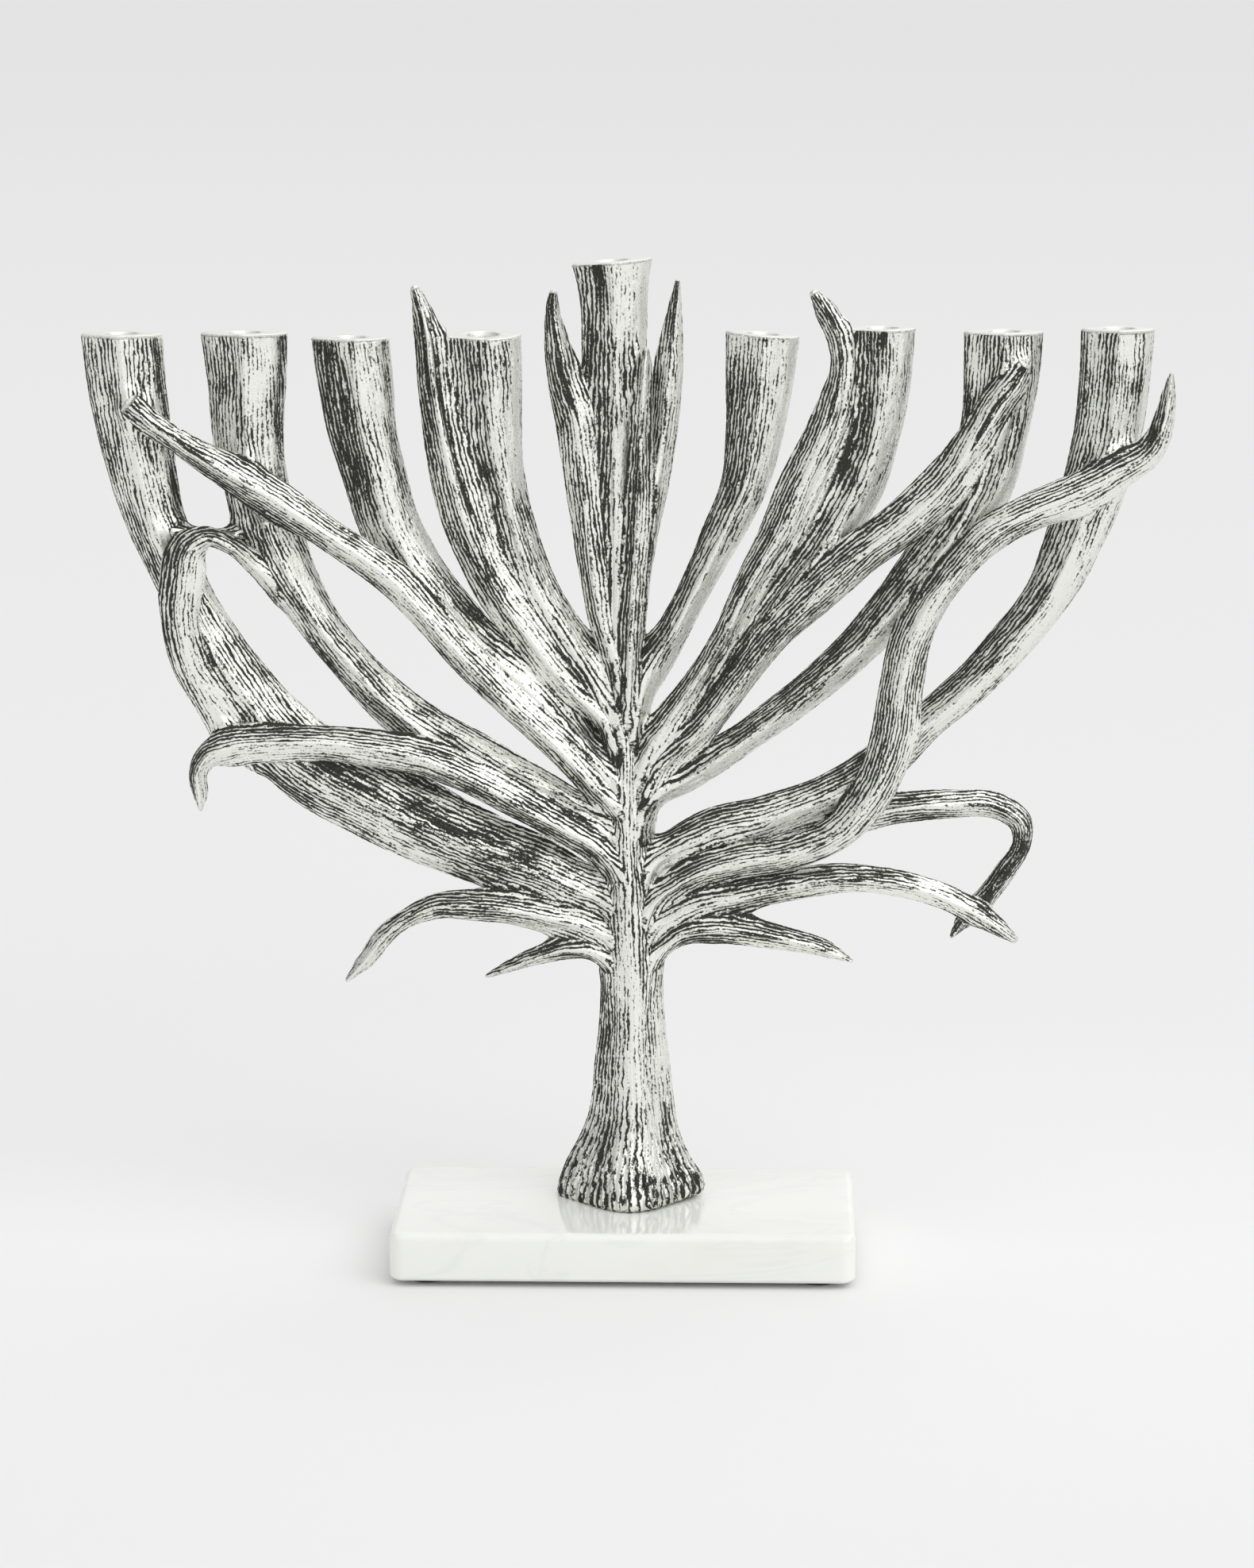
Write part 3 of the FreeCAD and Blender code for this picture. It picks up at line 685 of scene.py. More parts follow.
@dataclass
class Form:
    """Stations of a member and its section at each of them, in millimetres."""

    centre: np.ndarray
    across: np.ndarray
    deep: np.ndarray
    along: np.ndarray
    run: np.ndarray
    half_width: np.ndarray
    half_depth: np.ndarray
    facets: np.ndarray
    softness: np.ndarray

    def norm(self, rows: np.ndarray, side: np.ndarray, back: np.ndarray) -> np.ndarray:
        """How far out a point of a section is: 1 on its surface.

        The power mean of the point's projections on the section's facets, each facet's normal
        being as long as makes its projection 1 on the facet.

        Args:
            rows: station of each point.
            side: the points' places across.
            back: the points' places in depth.

        Returns:
            One number for each point.
        """
        power = self.softness[rows]
        total = np.zeros(np.broadcast(rows, side).shape)
        for k in range(self.facets.shape[1]):
            facet = self.facets[rows, k]
            total += np.maximum(facet[..., 0] * side + facet[..., 1] * back, 0.0) ** power
        return (0.5 * np.maximum(total, 1e-12)) ** (1.0 / power)

    def gap(self, points: np.ndarray) -> np.ndarray:
        """Distance from points to the member's surface, less than nothing inside it.

        The nearest station gives each point's place in a section, and the distance is the
        point's length there times what its norm lacks of one.

        Args:
            points: the points, one in each row.

        Returns:
            One distance in millimetres for each point.
        """
        step = max(1, len(self.run) // COARSE_STATIONS)
        coarse = np.arange(0, len(self.run), step)
        apart = ((points[:, None, :] - self.centre[None, coarse, :]) ** 2).sum(-1)
        row = coarse[apart.argmin(1)]
        pace = (self.run[-1] - self.run[0]) / (len(self.run) - 1)
        ahead = ((points - self.centre[row]) * self.along[row]).sum(-1)
        row = np.clip(row + np.rint(ahead / pace).astype(int), 0, len(self.run) - 1)
        offset = points - self.centre[row]
        side = (offset * self.across[row]).sum(-1)
        back = (offset * self.deep[row]).sum(-1)
        past = np.abs((offset * self.along[row]).sum(-1))
        length = np.hypot(side, back)
        lateral = length * (1.0 - 1.0 / self.norm(row, side, back))
        end = (row == 0) | (row == len(self.run) - 1)
        beyond = np.where(end, np.maximum(past - pace, 0.0), 0.0)
        return np.where(beyond > 0.0, np.hypot(np.maximum(lateral, 0.0), beyond), lateral)


@dataclass
class Skin:
    """A member's outer surface as a grid of rows along it and columns round it."""

    points: np.ndarray
    lay: np.ndarray
    rib: np.ndarray
    # Real wear, and painted side shade.
    wear_and_shade: np.ndarray
    # Real stains and patina, and painted crevice and bore shade.
    stain_and_shade: np.ndarray
    ground: np.ndarray
    normals: np.ndarray


@dataclass
class Member:
    """A limb of the casting, carried along the line through its knots."""

    name: str
    knots: tuple[Knot, ...]
    seed: int
    rank: Rank = Rank.LEAF
    root_corners: Corners = BLADE
    end_corners: Corners = BLADE
    thickness: float = 8.0
    pitch: float = 1.3
    keel: float = 0.0
    # Strength of the painted side shade that darkens sides facing left and up.
    side_shade_strength: float = 0.0
    creases: tuple[Crease, ...] = ()
    rows: int = 220
    columns: int = 76
    softness: float = 8.0
    end_softness: float = 10.0
    evening: float = 4.0
    passing: tuple[float, float] = (0.45, 0.95)
    stands: bool = True
    # Share of the painted crevice shade that the member keeps.
    crevice_shade_weight: float = 1.0
    keel_height: float = 0.22
    groove_depth: float = 0.26
    lump_height: float = 0.30
    grain_height: float = 0.12
    pit_depth: float = 0.22
    form: Form = field(init=False, repr=False)
    arc: np.ndarray = field(init=False, repr=False)
    rim: np.ndarray = field(init=False, repr=False)

    def rooted(self) -> np.ndarray:
        """Knots with two more that carry the line back into what it grows from.

        A line that starts by the spine turns down along it. Any other goes straight back.

        Returns:
            The knots, one in each row.
        """
        table = np.array(self.knots)
        aside, up, width, ahead = table[0]
        if abs(aside) < SPINE_REACH:
            near = (0.70 * aside - 0.5, up - 6.0, 0.95 * width, 0.9 * ahead)
            far = (0.40 * aside - 0.6, up - 15.0, 0.80 * width, 0.6 * ahead - 1.0)
        else:
            back = unit(table[0, :2] - table[1, :2])
            near = (aside + 5.0 * back[0], up + 5.0 * back[1], 0.9 * width, ahead - 1.5)
            far = (aside + 11.0 * back[0], up + 11.0 * back[1], 0.6 * width, ahead - 5.0)
        return np.vstack([far, near, table])

    def depth(self, share: np.ndarray, width: np.ndarray) -> np.ndarray:
        """Front to back of a leaf, which thins as it narrows."""
        return self.thickness * np.minimum(1.0, 0.35 + 0.65 * width / (0.6 * width.max()))

    def end_normal(self) -> np.ndarray | None:
        """Direction that the last section faces, where it isn't the line's own."""
        return None

    def gaps(self, points: np.ndarray) -> np.ndarray:
        """The form's gap at points, worked out some thousands at a time."""
        parts = np.array_split(points, len(points) // CHUNK + 1)
        return np.concatenate([self.form.gap(part) for part in parts])

    def shape(self, stem: np.ndarray) -> None:
        """Work out the stations and their sections.

        The line is the smooth curve through the knots at even steps. A section lies across it,
        level with the front-to-back direction, and its corners pass from the root's to the end's.

        Args:
            stem: the foot of the stem's axis.
        """
        table = self.rooted()
        place = np.stack([table[:, 0], -table[:, 3], table[:, 1], table[:, 2]], 1)
        fine = hermite(place, FINE_STEPS)
        run = np.r_[0.0, np.cumsum(np.linalg.norm(np.diff(fine[:, :3], axis=0), axis=1))]
        at = np.linspace(0.0, run[-1], self.rows)
        even = np.stack([np.interp(at, run, fine[:, k]) for k in range(4)], 1)
        share = at / run[-1]
        reach = int(self.evening / (run[-1] / self.rows))
        along = unit(smooth_rows(np.gradient(even[:, :3], axis=0), reach))
        last = self.end_normal()
        if last is not None:
            lean = ease(run[-1] - at, LEAN, 0.0)[:, None]
            along = unit(along * (1.0 - lean) + last * lean)
        across = unit(np.cross([0.0, 1.0, 0.0], along))
        half_width = 0.5 * np.maximum(even[:, 3], LEAST_WIDTH)
        half_depth = 0.5 * self.depth(share, half_width * 2.0)
        blend = ease(share, *self.passing)[:, None, None]
        corners = np.array(self.root_corners) * (1.0 - blend) + np.array(self.end_corners) * blend
        corners[:, 2, 0] += self.keel
        corners = corners * np.stack([half_width, half_depth], -1)[:, None, :]
        edge = np.roll(corners, -1, axis=1) - corners
        facet = np.stack([edge[..., 1], -edge[..., 0]], -1)
        reachout = (facet * corners).sum(-1, keepdims=True)
        self.form = Form(even[:, :3] + stem, across, np.cross(along, across), along, at,
                         half_width, half_depth, facet / reachout,
                         self.softness + (self.end_softness - self.softness) * ease(share, 0.4, 0.9))

    def bare(self) -> Skin:
        """The surface before relief, and how it is laid out.

        A point leaves its station towards its column's angle on the section's ellipse, to where
        the section's norm is 1. Round the member, lay is a circle as long as the section's rim,
        and along it, the distance from the root, so a pattern on it follows the limb unbroken.

        Returns:
            The surface, with nothing in its rib, wear, hollow and ground.
        """
        form = self.form
        angle = TURN * (0.25 + np.arange(self.columns) / self.columns)
        side = form.half_width[:, None] * np.cos(angle)
        back = form.half_depth[:, None] * np.sin(angle)
        norm = form.norm(np.arange(self.rows)[:, None], side, back)
        side, back = side / norm, back / norm
        points = (form.centre[:, None] + side[..., None] * form.across[:, None]
                  + back[..., None] * form.deep[:, None])
        steps = np.linalg.norm(np.roll(points, -1, 1) - points, axis=-1)
        rim = steps.sum(1, keepdims=True)
        arc = np.cumsum(steps, 1) - steps
        arc = arc - arc[:, self.columns // 2][:, None]
        turned = TURN * arc / rim
        lay = np.stack([rim / TURN * np.sin(turned), -rim / TURN * np.cos(turned),
                        np.broadcast_to(form.run[:, None], arc.shape)], -1)
        down = np.gradient(points, axis=0)
        round_ = np.roll(points, -1, 1) - np.roll(points, 1, 1)
        normals = unit(np.cross(round_, down))
        self.arc, self.rim = arc, rim
        blank = np.zeros(arc.shape)
        return Skin(points, lay, blank, blank.copy(), blank.copy(), blank.copy(), normals)

    def carve(self, skin: Skin) -> np.ndarray:
        """Relief of the surface in millimetres: creases, broad lumps, ribs with grooves, and pits.

        A crease is a bell across the member. Ribs are a cosine of the distance from the keel,
        which wanders with noise. They fade where the wear, with its painted side shade, is low.
        Pits are the peaks of a short-grained noise. Painted side shade then darkens the sides
        that face left and up and lightens the others, in the finish alone.

        Args:
            skin: the bare surface, whose rib, wear and stains with painted shade are filled in.

        Returns:
            How far each point moves out.
        """
        lay, share = skin.lay, (self.form.run / self.form.run[-1])[:, None]
        offset = self.seed * SEED_SHIFT
        wander = Grain(self.seed).at(lay * (0.10, 0.10, 0.030) + offset)
        skin.rib = (np.abs(self.arc) + 1.3 * wander) / self.pitch
        patch = Grain(self.seed + 1).at(lay * (0.16, 0.16, 0.035) + offset)
        dash = Grain(self.seed + 2).at(lay * (0.85, 0.85, 0.22) + offset)
        keel = np.exp(-((self.arc / 0.9) ** 2))
        # Painted side shade: sides that face left and up are made darker, the others lighter.
        side_shade = skin.normals @ np.array([-0.85, 0.0, 0.75])
        edge = np.exp(-(((np.abs(self.arc) - 0.25 * self.rim) / 0.9) ** 2))
        # Real wear, plus painted side shade that darkens sides facing left and up.
        wear_and_shade = 0.48 + 0.62 * patch + 0.30 * side_shade - 0.40 * keel + 0.12 * edge
        height = self.keel_height * keel
        for crease in self.creases:
            across = crease.from_side + (crease.to_side - crease.from_side) * np.clip(
                (share - crease.start) / (crease.end - crease.start), 0.0, 1.0)
            window = ease(share, crease.start - 0.02, crease.start + 0.04) * ease(
                share, crease.end + 0.02, crease.end - 0.04)
            bell = np.exp(-((self.arc - across * self.rim * 0.25) / crease.breadth) ** 2) * window
            height += crease.height * bell
            wear_and_shade -= crease.polish * bell
            skin.stain_and_shade = np.maximum(skin.stain_and_shade, bell * crease.stain)
        skin.wear_and_shade = np.clip(wear_and_shade, 0.22, 1.0)
        groove = 0.5 - 0.5 * np.cos(TURN * skin.rib)
        height -= self.groove_depth * groove**1.4 * ease(skin.wear_and_shade + 0.35 * dash, 0.10, 0.75)
        lump = Grain(self.seed + 3).at(lay * (0.30, 0.30, 0.06) + offset)
        short = Grain(self.seed + 4).at(lay * (1.25, 1.25, 0.75) + offset)
        height += self.lump_height * lump + self.grain_height * short
        height -= self.pit_depth * ease(short + 0.3 * skin.wear_and_shade, 0.55, 0.95)
        fit = np.minimum(1.0, self.form.half_width / 3.0)[:, None]
        # Painted side shade, in the finish alone, laid over the wear.
        skin.wear_and_shade = np.clip(skin.wear_and_shade + self.side_shade_strength * side_shade, 0.0, 1.0)
        return height * fit

    def close(self, skin: Skin) -> tuple[list[np.ndarray], dict[str, np.ndarray]]:
        """Rows that finish the far end, here a rounded tip.

        Args:
            skin: the surface with its relief.

        Returns:
            Extra rows of points, and their ground, stain and painted shade values for each row.
        """
        edge, centre = skin.points[-1], skin.points[-1].mean(0)
        reach = self.form.half_width[-1]
        turn = np.linspace(0.0, 0.5 * math.pi, 5)[1:-1]
        rows = [centre + (edge - centre) * math.cos(t) + self.form.along[-1] * reach * math.sin(t)
                for t in turn]
        rows.append(centre + self.form.along[-1] * reach)
        return rows, {"ground": np.zeros(len(rows)), "stain_and_shade": np.zeros(len(rows))}

    def build(self, casting: "Casting") -> bpy.types.Object:
        """Make the member's mesh with its relief, its fillets and its layers.

        Args:
            casting: the members that it is cast with.

        Returns:
            The object.
        """
        skin = self.bare()
        relief = self.carve(skin)
        swell, crevice_shade = casting.meet(self, skin)
        skin.points = skin.points + skin.normals * (relief * (1.0 - 0.6 * crevice_shade) + swell)[..., None]
        crevice_shade = crevice_shade * self.crevice_shade_weight
        # Painted shade: half of the crevice shade goes into the stains that darken the metal.
        skin.stain_and_shade = np.clip(skin.stain_and_shade + 0.50 * crevice_shade, 0.0, 1.0)
        extra, layers = self.close(skin)
        ends, pole = extra[:-1], extra[-1]
        start = skin.points[0].mean(0)
        grid = np.concatenate([skin.points.reshape(-1, 3), *ends, start[None], pole[None]])
        rows, columns = self.rows + len(ends), self.columns
        faces = [tube_faces(rows, columns)]
        first_pole = rows * columns
        faces.append(np.concatenate([
            cap_faces(0, columns, first_pole, False),
            cap_faces((rows - 1) * columns, columns, first_pole + 1, True)]))
        thing = build_mesh(self.name + "_cast", grid * MM, faces)
        tail = np.concatenate([*ends, start[None], pole[None]])
        store(thing, "lay", np.concatenate([skin.lay.reshape(-1, 3), tail]))
        for label, values in (("rib", skin.rib), ("wear_and_shade", skin.wear_and_shade)):
            store(thing, label, np.r_[values.ravel(), np.zeros(len(tail))])
        for label, values in (("stain_and_shade", skin.stain_and_shade), ("ground", skin.ground)):
            ends_values = np.repeat(layers[label][:-1], columns)
            store(thing, label, np.r_[values.ravel(), ends_values, 0.0, layers[label][-1]])
        return thing

    def dress(self, thing: bpy.types.Object, metal: bpy.types.Material) -> None:
        """Give the piece its metal and the node that it stands for, where it has one.

        Args:
            thing: the piece.
            metal: its material.
        """
        thing.data.materials.append(metal)
        if self.stands:
            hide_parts(self.name)
        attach(thing, "root")


@dataclass
class CandleArm(Member):
    """An arm that widens to a cup, ground flat at its rim and bored for a candle."""

    rank: Rank = Rank.ARM
    root_corners: Corners = LIMB
    end_corners: Corners = CUP
    hole: str = ""
    nod: float = 0.0
    root_depth: float = 10.0
    limb_depth: float = 12.5
    cup_depth: float = 18.5
    bevel: float = 1.0
    mouth_edge: float = 0.35
    rim_polish: float = 0.22
    rim_ground: tuple[float, ...] = (0.5, 0.62, 0.62, 0.62, 0.62, 0.8)
    rows: int = 330
    columns: int = 150
    softness: float = 9.0
    end_softness: float = 17.0
    evening: float = 8.0
    pitch: float = 1.45
    # Strength of the painted side shade that darkens the arm's sides facing left and up.
    side_shade_strength: float = 0.16

    def depth(self, share: np.ndarray, width: np.ndarray) -> np.ndarray:
        """Front to back of an arm: even along the limb, and deeper to the cup.

        Args:
            share: how far along the arm each station is, 0 to 1.
            width: the arm's width at each station.

        Returns:
            The depth at each station.
        """
        flare = np.clip(2.0 * share - 1.0, 0.0, 1.0) ** 1.5
        start = np.minimum(2.0 * share, 1.0)
        return (self.root_depth + (self.limb_depth - self.root_depth) * start
                + (self.cup_depth - self.limb_depth) * flare)

    def bore(self) -> tuple[np.ndarray, np.ndarray, float, float]:
        """The candle hole, as the record gives it.

        Returns:
            Its rim's centre, its axis, its radius and its length, in millimetres.
        """
        mount = next(m for m in MOUNTS if m["name"] == self.hole)
        axis = unit(np.array(mount["axis"], float))
        length, radius = mount["dims"]["length_mm"], mount["dims"]["r_mm"]
        return np.array(mount["pos_m"]) / MM + axis * length * 0.5, axis, radius, length

    def end_normal(self) -> np.ndarray:
        """The rim faces along the hole, nodding forward where the arm is ground so.

        Returns:
            The rim's direction.
        """
        axis = self.bore()[1]
        nod = math.radians(self.nod)
        return unit(axis * math.cos(nod) + np.array([0.0, -1.0, 0.0]) * math.sin(nod))

    def close(self, skin: Skin) -> tuple[list[np.ndarray], dict[str, np.ndarray]]:
        """Rows over the rim and down the candle hole.

        The rim is the last section's outline moved onto the rim's plane, less its bevel. From
        there rows blend straight to the hole's circle, and the hole's wall runs down its axis.

        Args:
            skin: the surface with its relief, whose last row and ground are set.

        Returns:
            Extra rows of points, and their ground, stain and painted shade values for each row.
        """
        centre, axis, radius, length = self.bore()
        face = self.end_normal()
        edge = skin.points[-1]
        lift = ((centre - edge) @ face)[:, None]
        outline = edge + lift * face
        outward = unit(outline - centre)
        skin.points[-1] = outline - face * self.bevel
        below = self.form.run[-1] - self.form.run[:, None]
        skin.ground = self.rim_polish * ease(below, 1.6, 0.3) * np.ones(self.columns)
        angle = TURN * (0.25 + np.arange(self.columns) / self.columns)
        side = unit(np.cross([0.0, 1.0, 0.0], axis))
        back = np.cross(axis, side)
        spokes = np.cos(angle)[:, None] * side + np.sin(angle)[:, None] * back
        slope = -(spokes @ face) / (axis @ face)
        mouth = centre + radius * (spokes + slope[:, None] * axis)
        rim = outline - outward * self.bevel
        wide = centre + (radius + self.mouth_edge) * (spokes + slope[:, None] * axis)
        rows = [outline - outward * 0.3 * self.bevel - face * 0.3 * self.bevel, rim]
        rows += [rim + (wide - rim) * t for t in (0.15, 0.4, 0.7, 1.0)]
        ground = list(self.rim_ground)
        rows.append(mouth - face * 0.3)
        ground.append(0.6)
        deep = np.linspace(0.0, 1.0, 9)[1:]
        foot = centre + radius * spokes - axis * length
        rows += [rows[6] + (foot - rows[6]) * t for t in deep]
        # Painted shade down the candle hole: the ground value falls with depth.
        ground += [0.45 - 0.4 * t for t in deep]
        rows += [centre - axis * length + (foot - centre + axis * length) * t for t in (0.6, 0.2)]
        rows.append(centre - axis * (length + 0.3))
        ground += [0.0, 0.0, 0.0]
        ground = np.array(ground)
        # Painted shade: inside the hole the wall darkens as its ground value falls.
        stain_and_shade = np.where(np.arange(len(ground)) > 6, 0.75 - ground, 0.0)
        return rows, {"ground": ground, "stain_and_shade": stain_and_shade}


@dataclass
class Trunk(Member):
    """Flared foot, stem and spine."""

    rank: Rank = Rank.TRUNK
    root_corners: Corners = FOOT
    end_corners: Corners = STEM
    rows: int = 300
    columns: int = 320
    softness: float = 12.0
    end_softness: float = 7.0
    passing: tuple[float, float] = (0.05, 0.45)
    # Share of the painted crevice shade that the trunk keeps.
    crevice_shade_weight: float = 0.4
    groove_depth: float = 0.25
    lump_height: float = 0.16
    pit_depth: float = 0.25
    foot_groove: float = 0.45
    gouge_depth: float = 0.8
    nose_height: float = 0.8
    ribs: int = 42

    def rooted(self) -> np.ndarray:
        """The trunk's own knots, since it stands on the slab."""
        return np.array(self.knots)

    def depth(self, share: np.ndarray, width: np.ndarray) -> np.ndarray:
        """Front to back of the stem, a little less than its width."""
        return 0.86 * width

    def carve(self, skin: Skin) -> np.ndarray:
        """Relief of the trunk: ribs that fan out to the foot, gouges above its edge, and pits.

        Ribs are a cosine of the turn round the trunk, so that as many stand at the foot as at
        the neck. Gouges are peaks of a noise that is stretched up the foot.

        Args:
            skin: the bare surface, whose rib, wear and stains with painted shade are filled in.

        Returns:
            How far each point moves out.
        """
        offset = self.seed * SEED_SHIFT
        run = self.form.run[:, None]
        turn = self.arc / self.rim
        lay = skin.lay
        wander = Grain(self.seed).at(np.stack([4.0 * np.sin(TURN * turn), 4.0 * np.cos(TURN * turn),
                                               0.03 * run + 0.0 * turn], -1) + offset)
        skin.rib = np.abs(turn) * self.ribs + 0.35 * wander
        patch = Grain(self.seed + 1).at(lay * (0.12, 0.12, 0.03) + offset)
        dash = Grain(self.seed + 2).at(lay * (0.7, 0.7, 0.16) + offset)
        # Real wear, plus painted side shade: the trunk's left half, seen from the front, is made darker.
        skin.wear_and_shade = np.clip(0.36 + 0.35 * patch + 0.20 * ease(-turn, 0.02, 0.15), 0.0, 1.0)
        groove = 0.5 - 0.5 * np.cos(TURN * skin.rib)
        low = ease(run, 30.0, 2.0)
        depth = self.groove_depth + self.foot_groove * low
        height = -depth * groove**1.5 * ease(skin.wear_and_shade + 0.4 * dash, 0.0, 0.6)
        lump = Grain(self.seed + 3).at(lay * (0.22, 0.22, 0.05) + offset)
        short = Grain(self.seed + 4).at(lay * (1.0, 1.0, 0.6) + offset)
        pits = ease(short + 0.3 * skin.wear_and_shade, 0.5, 0.95)
        height += self.lump_height * lump + self.grain_height * short - self.pit_depth * pits
        gouge = Grain(self.seed + 5).at(lay * (0.42, 0.42, 0.14) + offset)
        band = ease(run, 2.0, 4.5) * ease(run, 20.0, 10.0)
        cut = band * ease(gouge, 0.15, 0.55) * groove
        height -= self.gouge_depth * cut
        nose = np.exp(-((self.arc / 5.0) ** 2)) * ease(run, 6.0, 2.0)
        height += self.nose_height * nose
        skin.stain_and_shade = np.maximum(skin.stain_and_shade, 0.75 * cut)
        return height * ease(run, -0.5, 1.5)


@dataclass
class Casting:
    """All members cast together, and how each swells where it meets the rest and gets painted crevice
    shade there.
    """

    members: list[Member]

    def meet(self, member: Member, skin: Skin) -> tuple[np.ndarray, np.ndarray]:
        """Fillets and painted crevice shade of a member against its neighbours.

        The swell is the quadratic of a rounded union: a quarter of the fillet's radius where a
        point is as far from both surfaces, less as the distances differ, and none where they
        differ by the radius. It is worked out again from where it takes the point, so narrow
        gaps fill. The painted crevice shade fades over a few millimetres.

        Args:
            member: the member whose skin it is.
            skin: its surface.

        Returns:
            How far each point moves out, and how much painted crevice shade it gets, 0 to 1.
        """
        shape = skin.rib.shape
        flat, out = skin.points.reshape(-1, 3), skin.normals.reshape(-1, 3)
        swell, crevice_shade = np.zeros(len(flat)), np.zeros(len(flat))
        low, high = flat.min(0) - NEARBY, flat.max(0) + NEARBY
        for other in self.members:
            if other is member:
                continue
            reach = other.form.half_width.max() + NEARBY
            near_low = other.form.centre.min(0) - reach
            near_high = other.form.centre.max(0) + reach
            if (near_low > high).any() or (near_high < low).any():
                continue
            chosen = np.flatnonzero(((flat > near_low) & (flat < near_high)).all(1))
            if not len(chosen):
                continue
            apart = other.gaps(flat[chosen])
            chosen, apart = chosen[apart < NEARBY], apart[apart < NEARBY]
            by_trunk = Rank.TRUNK in (member.rank, other.rank)
            fade = TRUNK_SHADE_REACH if by_trunk else SHADE_REACH
            # Painted crevice shade, like ambient occlusion: the nearer a neighbour, the darker.
            shade = np.exp(-((np.maximum(apart, 0.0) / fade) ** SHADE_FALL))
            crevice_shade[chosen] = np.maximum(crevice_shade[chosen], shade)
            radius = min(member.rank.value, other.rank.value)
            close = np.abs(apart) < radius
            chosen, apart = chosen[close], apart[close]
            rounding = 0.25 * radius * (1.0 - np.abs(apart) / radius) ** 2
            for _ in range(ROUNDS):
                apart = other.gaps(flat[chosen] + out[chosen] * rounding[:, None])
                level = np.clip(1.0 - np.abs(apart - rounding) / radius, 0.0, 1.0)
                rounding = 0.25 * radius * level**2
            swell[chosen] = np.maximum(swell[chosen], rounding)
        return swell.reshape(shape), crevice_shade.reshape(shape)

    def build(self, metal: bpy.types.Material, stem: np.ndarray) -> None:
        """Shape every member, then make and dress its piece.

        Args:
            metal: the casting's material.
            stem: the foot of the stem's axis.
        """
        for member in self.members:
            member.shape(stem)
        for member in self.members:
            thing = member.build(self)
            member.dress(thing, metal)
            LOG.info("%s: %d faces", thing.name, len(thing.data.polygons))


